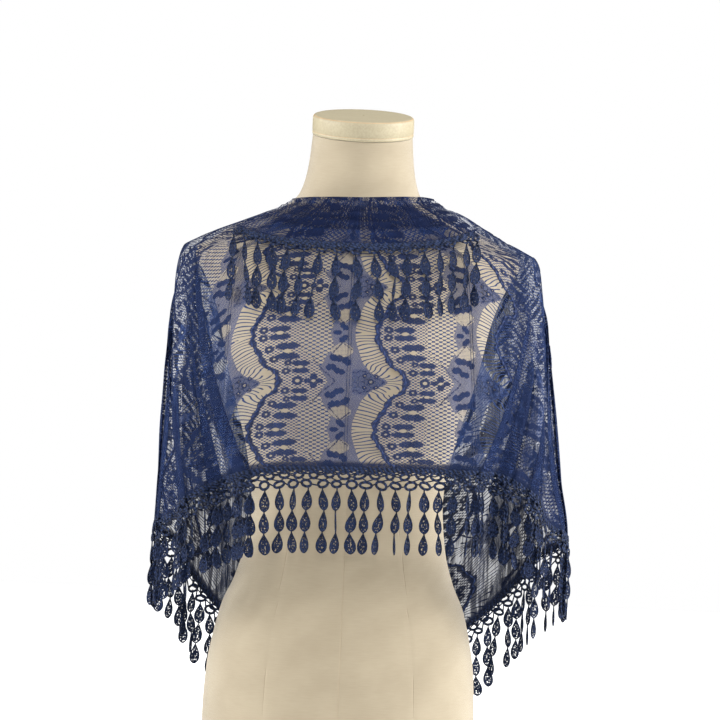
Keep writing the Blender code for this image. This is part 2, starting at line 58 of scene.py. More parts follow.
SHAWL = table("height left right front back power", [
    (-22, 21.8, 25.3, 13, 14.2, 2.3), (-3.2, 21.8, 25.3, 13, 13.2, 2.3), (4, 21.6, 24.1, 13.4, 12.8, 2.3),
    (14, 21.5, 23, 14.6, 12.7, 2.35), (18, 21.3, 22.5, 14.7, 12.7, 2.35),
    (22, 21.1, 22, 13.9, 12.5, 2.35), (25.5, 20.9, 21.5, 12.5, 12, 2.3),
    (27.5, 20.6, 21.2, 11.4, 11.3, 2.25), (28.8, 20.1, 20.6, 10.8, 10.8, 2.2),
    (29.7, 18.6, 19, 10.3, 10.3, 2.15), (30.7, 16.5, 16.9, 9.8, 9.8, 2.1), (32, 13.2, 14.6, 9.1, 9.1, 2),
    (33.2, 10.4, 12.6, 8.5, 8.4, 2), (34.3, 8.7, 10.3, 8, 7.8, 2), (35.2, 8.3, 9.2, 7.6, 7.4, 2),
])

EDGES = table("angle top hem", [
    (-180, 15.5, -19.6), (-168, 17.2, -19.3), (-156, 20.1, -18), (-143, 24, -15.1), (-126, 29.4, -9.5),
    (-109, 32.8, -5.6), (-90, 33.7, -3.4), (-75, 34, -2.5), (-58, 34.3, -0.6), (-42, 34.5, 2.3),
    (-30, 34.6, 3.8), (-14, 34.7, 4.7), (0, 34.75, 4.9), (18, 34.9, 5), (36, 35, 4.9), (44, 35, 4.5),
    (60, 34.9, 1.3), (75, 34.6, -1.9), (90, 34.2, -3), (110, 32.8, -5.5), (130, 28.4, -9.8),
    (147, 23.2, -15.6), (158, 19.6, -18), (169, 17, -19.3), (180, 15.5, -19.6),
])

FOLDS = table("top_angle top_height low_angle low_height width depth", [
    (-60, 24, -27, 3, 5.5, 0.5), (-68, 23, -37, 1, 6, -1.1), (-74, 22, -50, -1, 6.5, 0.8),
    (-82, 20, -66, -2, 6.5, -0.8), (58, 22, 31, 4, 6, 0.5), (64, 21, 41, 4, 6, -1.1),
    (72, 20, 54, 0, 6.5, 0.8), (80, 19, 68, -3, 7, -0.8), (-104, 20, -100, -6, 8, 0.6),
    (-118, 18, -114, -9, 8, -0.8), (-132, 16, -130, -12, 8, 0.7), (-150, 12, -150, -20, 9, -0.7),
    (-166, 8, -166, -22, 8, 0.7), (103, 21, 100, -6, 8, 0.6), (116, 17, 115, -9, 8, -0.8),
    (131, 15, 133, -12, 9, 0.8), (148, 12, 150, -20, 8, -0.7), (165, 9, 166, -22, 9, 0.6),
])

FORM = table("height side front back power", [
    (-31, 15.5, 10.6, 11.4, 2.3), (-25.5, 15.8, 10.8, 11.7, 2.3), (-19.6, 15.5, 10.7, 11.5, 2.3),
    (-16, 14.9, 10.5, 11.1, 2.3), (-12.4, 14, 10.2, 10.6, 2.3), (-9.4, 12.7, 9.8, 9.9, 2.3),
    (-5.9, 11.7, 9.3, 9.2, 2.3), (-3, 11.3, 9, 8.9, 2.3), (0, 11.1, 8.8, 8.8, 2.3),
    (5, 11.8, 9.1, 9, 2.3), (10, 13.1, 10.2, 9.5, 2.3), (14, 14.2, 11.4, 10, 2.3),
    (17, 14.9, 12, 10.4, 2.3), (20, 15.5, 11.7, 10.6, 2.3), (23, 16.4, 10.9, 10.6, 2.3),
    (26, 17.8, 9.8, 9.9, 2.2), (27.6, 18.7, 9.2, 9.2, 2.1), (28.6, 18.6, 8.8, 8.8, 2),
    (29.7, 16.9, 8.4, 8.4, 2), (31, 14.9, 7.9, 8, 2), (32.4, 11.7, 7.3, 7.6, 2), (33.6, 8.8, 6.8, 7.2, 2),
    (35.3, 7, 6.3, 6.5, 2), (37.4, 6.3, 5.9, 6, 2), (39.3, 6, 5.7, 5.7, 2), (42.2, 5.75, 5.6, 5.6, 2),
])
BUST_AT = (7.2, 16.6)
BUST_SPREAD = 4.4
BUST_RISE = 1.1
CAP_RADIUS = 5.85
NECK_TOP = 42.2
NECK_TILT = math.radians(9.0)
TILT_STARTS = 37.0
SEAM_GAP = 0.03
COLLAR_DEPTH = 5.2
COLLAR_OFFSET = 0.62
COLLAR_REACH = 58.0


# Shape of the cloth

def stacked(*parts):
    """Set numbers side by side in the last axis of one array."""
    return np.stack(np.broadcast_arrays(*parts), axis=-1)


def unit(vectors):
    return vectors / np.maximum(np.linalg.norm(vectors, axis=-1, keepdims=True), 1e-9)


def ease(low, high, at):
    """Go softly from 0 at low to 1 at high."""
    part = np.clip((at - low) / (high - low), 0.0, 1.0)
    return part * part * (3.0 - 2.0 * part)


def bell(at, width):
    """Give 1 at zero, falling off softly on both sides."""
    return np.exp(-(at / width) ** 2)


def smooth(at, known, values):
    """Read a table column between its rows on a curve that never overshoots."""
    at = np.clip(np.asarray(at, dtype=float), known[0], known[-1])
    step = np.diff(known)
    rise = np.diff(values) / step
    slope = np.zeros(len(known))
    slope[0] = rise[0]
    slope[-1] = rise[-1]
    before = rise[:-1]
    after = rise[1:]
    same_way = before * after > 0
    both = np.where(same_way, before + after, 1.0)
    slope[1:-1] = np.where(same_way, 2.0 * before * after / both, 0.0)
    cell = np.clip(np.searchsorted(known, at, side="right") - 1, 0, len(step) - 1)
    part = (at - known[cell]) / step[cell]
    square = part * part
    cube = square * part
    start = (2 * cube - 3 * square + 1) * values[cell]
    finish = (3 * square - 2 * cube) * values[cell + 1]
    leave = (cube - 2 * square + part) * slope[cell] * step[cell]
    arrive = (cube - square) * slope[cell + 1] * step[cell]
    return start + finish + leave + arrive


def columns_at(rows, at):
    """Read each later column of a table, at places of its first column, on smooth curves."""
    known, *columns = rows.values()
    return [smooth(at, known, values) for values in columns]


def straight(rows, name, at):
    """Read a column of a table, at places of its first column, on straight lines."""
    return np.interp(at, next(iter(rows.values())), rows[name])


def section_point(angle, side, front, back, power):
    """Give x and y on a section, a stretched circle that is flatter at its front and back."""
    turn = np.radians(angle)
    across = np.sin(turn)
    along = np.cos(turn)
    x = np.sign(across) * np.abs(across) ** (2.0 / power) * side
    depth = np.where(along > 0, front, back)
    y = -np.sign(along) * np.abs(along) ** (2.0 / power) * depth
    return x, y


def fold_depth(angle, height):
    """Add up how far the folds lift the cloth at a place."""
    total = np.zeros(np.broadcast(angle, height).shape)
    for top_angle, top_height, low_angle, low_height, width, depth in zip(*FOLDS.values()):
        down = (top_height - height) / (top_height - low_height)
        line = top_angle + (low_angle - top_angle) * np.clip(down, 0.0, 1.3)
        total = total + depth * ease(0.0, 1.0, down + 0.25) * bell(angle - line, width)
    return total


def plain_point(angle, height):
    """Give the cloth's outer surface without its folds."""
    left, right, front, back, power = columns_at(SHAWL, height)
    return section_point(angle, np.where(angle < 0, left, right), front, back, power)


def folded_point(angle, height):
    """Give the cloth's outer surface, in centimetres."""
    angle, height = np.broadcast_arrays(np.asarray(angle, dtype=float), np.asarray(height, dtype=float))
    x, y = plain_point(angle, height)
    ahead_x, ahead_y = plain_point(angle + 0.5, height)
    behind_x, behind_y = plain_point(angle - 0.5, height)
    run_x = ahead_x - behind_x
    run_y = ahead_y - behind_y
    lift = fold_depth(angle, height) / np.hypot(run_x, run_y)
    return stacked(x + lift * run_y, y - lift * run_x, height)


def outward_at(angle, height):
    """Give the direction straight out of the cloth."""
    around = folded_point(angle + 0.4, height) - folded_point(angle - 0.4, height)
    up = folded_point(angle, height + 0.15) - folded_point(angle, height - 0.15)
    return unit(np.cross(around, up))


def drape(angle, height, outward=0.0):
    """Give points of the cloth, moved out along its own normal."""
    return folded_point(angle, height) + outward_at(angle, height) * np.asarray(outward)[..., None]


def path_lengths(points):
    """Measure the way along a row of points from its first one."""
    steps = np.linalg.norm(np.diff(points, axis=-2), axis=-1)
    start = np.zeros(steps.shape[:-1] + (1,))
    return np.concatenate([start, np.cumsum(steps, axis=-1)], axis=-1)


FINE_ANGLES = np.linspace(-180.0, 180.0, 1441)
RING_HEIGHT = 14.0
RING_WAY = path_lengths(stacked(*plain_point(FINE_ANGLES, np.full(FINE_ANGLES.shape, RING_HEIGHT))))
RING_WAY = RING_WAY - np.interp(0.0, FINE_ANGLES, RING_WAY)


def angle_at(way):
    return np.interp(way, RING_WAY, FINE_ANGLES)


def way_at(angle):
    return np.interp(angle, FINE_ANGLES, RING_WAY)


def top_of(angle):
    """Give the height of the upper edge, with the collar's corners rounded off."""
    lowered = 0.5 * ease(45.0, 88.0, np.abs(angle)) * (1.0 - ease(115.0, 150.0, np.abs(angle)))
    return smooth(angle, EDGES["angle"], EDGES["top"]) - lowered


def hem_of(angle):
    return smooth(angle, EDGES["angle"], EDGES["hem"])


# Heights of evenly spaced places up the cloth, for angles half a degree apart
SHARES = np.linspace(0.0, 1.0, 121)
LINE_ANGLES = np.linspace(-180.0, 180.0, 721)
LINE_HEIGHTS = hem_of(LINE_ANGLES)[:, None] * (1 - SHARES) + top_of(LINE_ANGLES)[:, None] * SHARES
LINE_RISES = path_lengths(drape(LINE_ANGLES[:, None], LINE_HEIGHTS))
EVEN_HEIGHTS = np.stack([np.interp(SHARES * rises[-1], rises, heights)
                         for rises, heights in zip(LINE_RISES, LINE_HEIGHTS)])


def read_grid(grid, row, column):
    """Read a grid at places between its rows and columns."""
    low = np.clip(row.astype(int), 0, grid.shape[0] - 2)
    left = np.clip(column.astype(int), 0, grid.shape[1] - 2)
    up = row - low
    across = column - left
    if grid.ndim > 2:
        up = up[..., None]
        across = across[..., None]
    bottom = grid[low, left] * (1 - across) + grid[low, left + 1] * across
    top = grid[low + 1, left] * (1 - across) + grid[low + 1, left + 1] * across
    return bottom * (1 - up) + top * up


def height_at(angle, share):
    """Give the height of a place that lies a share of the way up the cloth."""
    # Each place stays just short of the last row and column, so that it has a next one
    row = np.clip((angle + 180.0) * 2.0, 0, len(LINE_ANGLES) - 1.001)
    column = np.clip(share * (len(SHARES) - 1), 0, len(SHARES) - 1.001)
    return read_grid(EVEN_HEIGHTS, row, column)


# Small creases of the cloth: a line from low to high, with its own width and depth
CREASES = table("low_way low_share high_way high_share width depth", [
    (-15.5, 0.1, -12, 0.72, 0.55, 0.16), (-12.2, 0.02, -8.5, 0.42, 0.5, -0.12),
    (-8.6, 0.05, -7.2, 0.33, 0.4, 0.1), (-4.6, 0.02, -4, 0.2, 0.35, -0.08),
    (1.8, 0, 1.2, 0.17, 0.45, 0.08), (6.4, 0.03, 7.6, 0.28, 0.45, -0.09),
    (10.5, 0.02, 11.8, 0.4, 0.5, 0.12), (14.2, 0.05, 13.6, 0.6, 0.5, -0.14),
    (17, 0.12, 16, 0.78, 0.6, 0.15), (-22, 0.3, -20.5, 0.92, 0.7, -0.18),
    (21.5, 0.35, 20.2, 0.93, 0.7, -0.18), (-27, 0.05, -26.2, 0.6, 0.6, 0.22),
    (-31.5, 0, -29.6, 0.85, 0.75, -0.24), (-34.4, 0.1, -34, 0.7, 0.5, 0.16),
    (-38, 0.02, -37.4, 0.55, 0.6, -0.2), (-42.6, 0, -41, 0.8, 0.7, 0.22),
    (-47, 0.05, -46.4, 0.62, 0.55, -0.18), (-51.4, 0, -51, 0.5, 0.65, 0.2),
    (-55.8, 0.1, -56.4, 0.72, 0.6, -0.16), (28, 0.05, 27, 0.66, 0.6, 0.22),
    (32.6, 0, 31, 0.88, 0.75, -0.24), (36, 0.12, 35.6, 0.6, 0.5, 0.17),
    (40.4, 0.02, 39.4, 0.74, 0.65, -0.2), (44.6, 0, 44, 0.52, 0.55, 0.2),
    (49.2, 0.08, 48.2, 0.82, 0.7, -0.18), (53.8, 0, 53.2, 0.58, 0.6, 0.19),
    (58.6, 0.05, 58, 0.66, 0.55, -0.15),
])


def crease_lift(way, share):
    """Add up the small creases and the slight unevenness of knitted lace."""
    lift = 0.035 * np.sin(way * 1.9 + 5.0 * share) * np.sin(share * 23.0 + way * 0.6)
    for low_way, low_share, high_way, high_share, width, depth in zip(*CREASES.values()):
        up = (share - low_share) / (high_share - low_share)
        line = low_way + (high_way - low_way) * np.clip(up, -0.2, 1.2)
        fade = ease(-0.15, 0.15, up) * (1.0 - ease(0.7, 1.1, up))
        lift = lift + depth * fade * bell(way - line, width)
    return lift


# Pleats laid over each other where the cloth is drawn in at the arms, from the hem upward
PLEATS = table("low_way high_way reach width", [
    (-30.5, -29.2, 0.7, 1), (-26, -25.2, 0.6, 1.1), (-19.2, -22.1, 0.42, 1.1), (-15.8, -21.6, 0.6, 1.4),
    (-12.3, -21.1, 0.72, 1.6), (15.2, 22.9, 0.58, 1.5), (17.9, 23.3, 0.46, 1.4), (20.8, 23.6, 0.3, 1),
    (27.2, 26.6, 0.6, 1.1), (32, 31.2, 0.7, 1),
])
PLEAT_OVERLAP = 0.8
PLEAT_TAKES = 3.3
PLEAT_LIFT = 0.19


class Sheet:
    """One stretch of lace: a grid of places with their normals and their place in the flat cloth."""

    def __init__(self, start, end, step, rows):
        shares = np.linspace(0.0, 1.0, rows)[:, None]
        pleats = []
        for low_way, high_way, reach, wide in zip(*PLEATS.values()):
            if start + 1 < low_way < end - 1:
                part = np.clip(shares / reach, 0.0, 1.0)
                width = wide * (1.0 - 0.55 * part) * (1.0 - ease(0.8, 1.0, part)) + 0.02
                left = low_way + (high_way - low_way) * part - width / 2
                pleats.append((left, width, low_way > 0, math.ceil(PLEAT_TAKES * wide / step)))
        here = np.full((rows, 1), start)
        taken = np.zeros((rows, 1))
        for left, width, rightward, count in pleats:
            if not rightward:
                taken = taken - (PLEAT_TAKES - 1.0) * width
        blocks = []

        def lay(way, flat, lift, loose):
            """Add columns: way on the form, way in the flat cloth, lift, and 1 outside the pleats."""
            blocks.append(np.stack(np.broadcast_arrays(way, flat, lift, loose)))

        def lay_plain(there):
            count = max(2, math.ceil(np.max(there - here) / step))
            way = here + (there - here) * (np.arange(count + 1) / count)
            lay(way, way + taken, 0.0, 1.0)

        for left, width, rightward, count in pleats:
            lay_plain(left)
            turn = (np.arange(count) + 0.5) / count
            sway = PLEAT_OVERLAP * np.sin(2 * np.pi * turn)
            side = turn if rightward else 1.0 - turn
            extra = (PLEAT_TAKES - 1.0) * width
            lay(left + width * (turn + sway), left + width * turn + taken + turn * extra,
                2 * PLEAT_LIFT * ease(0.0, 1.0, side) * ease(0.0, 0.6, width), 0.0)
            taken = taken + extra
            here = left + width
        lay_plain(np.full((rows, 1), end))
        way, self.way, lift, loose = np.concatenate(blocks, axis=2)
        for left, width, rightward, count in pleats:
            beyond = way - (left + width) if rightward else left - way
            raised = 2 * PLEAT_LIFT * ease(0.0, 0.6, width) * bell(beyond, 0.9)
            lift = lift + np.where((beyond > 0) & (loose > 0), raised, 0.0)
        shares = shares + 0 * way
        self.angle = angle_at(way)
        turned = np.abs(self.angle)
        creases = crease_lift(self.way, shares)
        at_seams = ease(0.0, 1.6, way - start) * ease(0.0, 1.6, end - way)
        lift = (lift + creases * ease(0.0, 0.06, shares + 0.03)) * at_seams
        self.long = np.interp(self.angle, LINE_ANGLES, LINE_RISES[:, -1])
        self.rise = shares * self.long
        self.points = drape(self.angle, height_at(self.angle, shares), SHELL_SINK + lift)
        self.normals = unit(np.cross(np.gradient(self.points, axis=1), np.gradient(self.points, axis=0)))
        # Painted shade in the troughs of the small creases and painted highlight on their ridges, read by
        # the lace's colour
        self.crease_shade = np.clip(0.5 - 2.4 * creases, 0.0, 1.0)
        # How bunched the cloth is: drawn into the pleats, at the sides, near the upper edge and towards the
        # hem at the sides. It thickens the lace's cover and darkens its colour as painted shade among the
        # layered folds
        drawn_in = np.clip((lift - creases * at_seams) / PLEAT_LIFT, 0.0, 1.0)
        at_top = (0.42 + 0.4 * ease(38.0, 60.0, turned)) * ease(0.72, 0.95, shares)
        at_hem = 0.55 * ease(34.0, 62.0, turned) * (1.0 - ease(0.0, 0.45, shares))
        self.bunch_cover_and_shade = np.maximum(np.maximum(drawn_in, 0.6 * ease(34.0, 58.0, turned)), at_top) + at_hem

    def at(self, way, rise, lift):
        """Find places of the flat cloth on the draped sheet, with the directions out of it."""
        way, rise = np.broadcast_arrays(np.asarray(way, dtype=float), rise)
        rows, columns = self.way.shape
        row = np.full(way.shape, rows / 2.0)
        for _ in range(4):
            near = np.clip(np.rint(row), 0, rows - 1).astype(int)
            column = np.array([np.interp(one, self.way[level], np.arange(columns))
                               for one, level in zip(way.ravel(), near.ravel())]).reshape(way.shape)
            whole = self.long[near, np.clip(np.rint(column), 0, columns - 1).astype(int)]
            row = np.clip(rise / whole, 0.0, 1.0) * (rows - 1)
        normal = unit(read_grid(self.normals, row, column))
        return read_grid(self.points, row, column) + normal * lift, normal


# Chart of the lace, in centimetres of one repeat: x runs from a scalloped cord's cusp, v up from the cusp

LACE_REPEAT = 14.3
REPEAT_LEFT = 6.0
LACE_CORD_AT = 6.0
CUSP_AT = 9.8
CUSP_REPEAT = 10.9
CORD = table("v x", [
    (0, 0), (0.8, -0.28), (1.3, -0.6), (1.6, -1.4), (2, -1.85), (2.6, -2.1), (3.3, -2.5), (4, -2.95),
    (4.6, -3.35), (5.1, -3.45), (5.5, -3.15),
])
BAND = table("v x", [
    (0, -2), (0.3, -2.3), (1, -3.9), (2.1, -4.9), (3.3, -5.35), (4.6, -5.8), (5.5, -5.85),
])
PETALS = table("x v long wide tilt", [
    (2.5, 1.13, 1.02, 0.31, 0), (2.5, 1.96, 1.06, 0.33, 0), (0.94, 2.78, 1.42, 0.38, -2),
    (0.88, 3.92, 1.45, 0.4, 2), (-0.1, 5, 1.32, 0.36, 0), (5.9, 1.56, 0.62, 0.4, 6),
    (6.85, 1.1, 0.68, 0.35, -12), (6.5, 2.55, 0.86, 0.38, -6), (7.62, 2.25, 0.62, 0.42, -40),
    (7.15, 4.75, 0.62, 0.34, 40), (6.45, 5.45, 0.52, 0.28, 0), (4, 0.46, 0.42, 0.4, 0),
    (3.3, 0, 0.42, 0.28, 0), (4.7, 0, 0.42, 0.28, 0),
])
EYELETS = table("x v long wide hole_long hole_wide", [
    (0.85, 1.1, 0.52, 0.38, 0.18, 0.12), (-0.6, 2.5, 0.54, 0.38, 0.18, 0.12),
    (-1.25, 3.65, 0.56, 0.4, 0.19, 0.12), (-2, 5, 0.55, 0.4, 0.19, 0.12), (2.2, 0, 0.62, 0.52, 0.28, 0.2),
    (1.05, 2.02, 0.44, 0.3, 0.14, 0.1), (-3.9, 0, 0.4, 0.34, 0.2, 0.15),
    (-3.3, 0.62, 0.3, 0.24, 0.13, 0.09), (-4.6, 0.66, 0.3, 0.24, 0.13, 0.09),
])
CENTRES = table("x v long wide", [
    (2.42, 1.55, 0.36, 0.16), (0.90, 3.35, 0.48, 0.21), (-0.10, 5.45, 0.46, 0.21), (4.0, 0.0, 0.25, 0.16),
])
# Edges of the nets, the lean of the ladder's threads, and the motifs that are drawn once in a repeat
NET_FROM = table("v x", [(1.5, 6.0), (1.8, 4.35), (2.6, 3.4), (3.9, 2.4), (5.5, 2.3)])
NET_TO = table("v x", [(1.5, 4.2), (1.8, 4.9), (2.6, 5.2), (3.9, 6.1), (4.8, 5.9), (5.5, 5.6)])
GROUND_TO = table("v x", [(0.0, 5.6), (1.3, 4.7), (2.6, 4.0), (5.5, 2.6)])
THREAD_LEAN = table("v lean", [(0.0, 0.0), (0.5, 0.9), (1.5, 1.45), (3.0, 0.75), (5.5, 0.12)])
THIN_LINES = table("x v end_x end_v", [
    (6.45, 0.0, 4.9, 1.3), (4.9, 1.3, 3.7, 2.6), (5.75, 2.9, 7.1, 4.35), (7.1, 4.35, 8.2, 3.5),
])
THIN_LINE_HALF = 0.07
LOBE = (-4.3, 0.0, 2.6, 1.15)
WINDOW = (-1.42, 1.05, 0.78, 0.34, -14)
HATCH_AT = (7.1, 3.45)
HATCH_REACH = (1.55, 1.05)
# Edges of the bands run slantwise, so a distance along x counts for less
SLOPE = 0.8


def repeat_place(way, rise):
    """Fold a place of the cloth into one repeat of the chart."""
    x = (way - LACE_CORD_AT + REPEAT_LEFT) % LACE_REPEAT - REPEAT_LEFT
    v = np.abs((rise - CUSP_AT + CUSP_REPEAT / 2) % CUSP_REPEAT - CUSP_REPEAT / 2)
    return x, v


def in_oval(x, v, middle_x, middle_v, long, wide):
    """Say how deep a place lies inside an oval, minus outside it."""
    return (1.0 - np.sqrt(((x - middle_x) / long) ** 2 + ((v - middle_v) / wide) ** 2)) * min(long, wide)


def in_petal(x, v, middle_x, middle_v, long, wide, tilt):
    """Say how deep a place lies inside a pointed petal, minus outside it."""
    turn = math.radians(tilt)
    along = (x - middle_x) * math.cos(turn) + (v - middle_v) * math.sin(turn)
    across = (v - middle_v) * math.cos(turn) - (x - middle_x) * math.sin(turn)
    waist = 1.0 - 0.34 * bell(along, 0.22 * long)
    return 1.16 * wide * waist * (1.0 - np.abs(along / (1.06 * long)) ** 2.2) - np.abs(across)


def near_line(x, v, start_x, start_v, end_x, end_v):
    """Say how deep a place lies inside a thin straight line, minus outside it."""
    run_x = end_x - start_x
    run_v = end_v - start_v
    part = ((x - start_x) * run_x + (v - start_v) * run_v) / (run_x ** 2 + run_v ** 2)
    part = np.clip(part, 0.0, 1.0)
    return THIN_LINE_HALF - np.hypot(x - start_x - run_x * part, v - start_v - run_v * part)


def lace_marks(way, rise):
    """Work out, for each place, how deep it lies in each part of the chart."""
    x, v = repeat_place(way, rise)
    cord_x = straight(CORD, "x", v)
    band_x = straight(BAND, "x", v)
    dark = 0.265 + 0.085 * np.sin(v * 5.6 + 0.8) - np.abs(x - cord_x - 0.12) * 0.75
    for row in zip(*PETALS.values()):
        dark = np.maximum(dark, in_petal(x, v, *row))
    hole = np.full(x.shape, -1.0)
    for middle_x, middle_v, long, wide, hole_long, hole_wide in zip(*EYELETS.values()):
        dark = np.maximum(dark, in_oval(x, v, middle_x, middle_v, long, wide))
        hole = np.maximum(hole, in_oval(x, v, middle_x, middle_v, hole_long, hole_wide))
    for row in zip(*CENTRES.values()):
        hole = np.maximum(hole, in_oval(x, v, *row))
    for row in zip(*THIN_LINES.values()):
        dark = np.maximum(dark, near_line(x, v, *row))
    lobe = np.minimum(np.where(x < 0, band_x - x, -1.0), in_oval(x, v, *LOBE) + 0.4)
    dark = np.maximum(dark, 0.06 - np.abs(lobe - 0.34 - 0.10 * np.sin(x * 6.5)) * SLOPE)
    # The threads of the ladder are numbered up the cloth, closer together near the cusp
    steep = np.where(v < 0.5, v / 0.22, 0.5 / 0.22 + (v - 0.5) / 0.34)
    thread = steep - (x - 0.5 * (cord_x + band_x)) * straight(THREAD_LEAN, "lean", v)
    thread = thread + 0.35 * np.sin(rise * 2.1) * np.sin(x * 1.3 + rise)
    return {
        "dark": dark,
        "hole": hole,
        "clear": np.minimum(x - band_x, cord_x - x) * SLOPE,
        "ovals": np.minimum(x - straight(NET_FROM, "x", v), straight(NET_TO, "x", v) - x) * SLOPE,
        "ground": np.minimum(x - cord_x, straight(GROUND_TO, "x", v) - x) * SLOPE,
        "hatch": 1.0 - np.abs(x - HATCH_AT[0]) / HATCH_REACH[0] - np.abs(v - HATCH_AT[1]) / HATCH_REACH[1],
        "thread": thread,
        "window": in_petal(x, v, *WINDOW),
        "solid": 0.70 + 0.14 * ease(-0.1, 0.25, lobe),
        "edge": 1.0 - ease(0.45, 0.95, rise),
    }


# Maths of the materials

class Number:
    """A number on its way through a material, with the usual signs of arithmetic."""

    def __init__(self, finish, socket):
        self.finish = finish
        self.socket = socket

    def sum_of(self, operation, *others):
        values = dict(enumerate((self,) + others))
        return self.finish.node("ShaderNodeMath", {"operation": operation}, values)

    def __add__(self, other):
        return self.sum_of("ADD", other)

    def __sub__(self, other):
        return self.sum_of("SUBTRACT", other)

    def __rsub__(self, other):
        return self.finish.node("ShaderNodeMath", {"operation": "SUBTRACT"}, {0: other, 1: self})

    def __mul__(self, other):
        return self.sum_of("MULTIPLY", other)

    def __truediv__(self, other):
        return self.sum_of("DIVIDE", other)

    __radd__ = __add__
    __rmul__ = __mul__

    def part(self):
        return self.sum_of("FRACT")

    def size(self):
        return self.sum_of("ABSOLUTE")

    def least(self, other):
        return self.sum_of("MINIMUM", other)

    def most(self, other):
        return self.sum_of("MAXIMUM", other)

    def wave(self):
        return self.sum_of("SINE")

    def ease(self, low, high):
        """Go softly from 0 at low to 1 at high."""
        return self.finish.node("ShaderNodeMapRange", {"interpolation_type": "SMOOTHSTEP"},
                                {"Value": self, "From Min": low, "From Max": high})


class Finish:
    """One material, with its nodes made by one method."""

    def __init__(self, name, roughness=0.8, sheen=0.0, gloss=0.5):
        self.material = bpy.data.materials.new(name)
        self.material.use_nodes = True
        self.tree = self.material.node_tree
        self.shader = self.tree.nodes["Principled BSDF"]
        self.shader.inputs["Roughness"].default_value = roughness
        self.shader.inputs["Sheen Weight"].default_value = sheen
        self.shader.inputs["Sheen Roughness"].default_value = 0.5
        self.shader.inputs["Specular IOR Level"].default_value = gloss

    def node(self, kind, settings=None, values=None, out=0):
        made = self.tree.nodes.new(kind)
        for name, value in (settings or {}).items():
            setattr(made, name, value)
        for name, value in (values or {}).items():
            if isinstance(value, Number):
                self.tree.links.new(value.socket, made.inputs[name])
            else:
                made.inputs[name].default_value = value
        return Number(self, made.outputs[out])

    def mark(self, name):
        return self.node("ShaderNodeAttribute", {"attribute_name": name}, out="Fac")

    def flat(self):
        """Give the place in the flat cloth: the two numbers together, then each."""
        spread = self.node("ShaderNodeUVMap", {"uv_map": "flat"})
        x = self.node("ShaderNodeSeparateXYZ", values={0: spread}, out=0)
        y = Number(self, x.socket.node.outputs[1])
        return spread, x, y

    def mix(self, factor, first, last):
        return self.node("ShaderNodeMix", {"data_type": "RGBA"}, {0: factor, 6: first, 7: last}, out=2)

    def noise(self, vector, scale, detail=2.0, rough=0.5):
        return self.node("ShaderNodeTexNoise", {}, {"Vector": vector, "Scale": scale, "Detail": detail,
                                                    "Roughness": rough})

    def bump(self, height, strength, distance):
        return self.node("ShaderNodeBump", {}, {"Height": height, "Strength": strength,
                                                "Distance": distance})

    def set(self, **sockets):
        for name, value in sockets.items():
            target = self.shader.inputs[name.replace("_", " ")]
            if isinstance(value, Number):
                self.tree.links.new(value.socket, target)
            else:
                target.default_value = value
        return self.material


def holes(x, y, wide, tall, half_wide, half_tall, blur=0.25):
    """Cut a net of staggered oval holes: 1 inside a hole."""
    found = None
    for shift in (0.0, 0.5):
        across = ((x / wide + shift).part() - 0.5) * (wide / half_wide)
        up = ((y / tall + shift).part() - 0.5) * (tall / half_tall)
        inside = across * across + up * up
        found = inside if found is None else found.least(inside)
    return 1.0 - found.ease(1.0 - blur, 1.0 + blur)


# Nets of the lace: width and height of a cell, then half the width and half the height of its hole
FINE_NET = (0.17, 0.14, 0.036, 0.030)
GROUND_NET = (0.60, 0.33, 0.196, 0.096)
OVAL_NET = (0.88, 0.44, 0.280, 0.134)
SLANTED_NET = (0.30, 0.30, 0.105, 0.105)
PETAL_NET = (0.11, 0.09, 0.020, 0.018)
HEM_COLOUR = (0.006, 0.012, 0.038, 1)
FULL_TURN = 6.283
WEAVE = 62.0


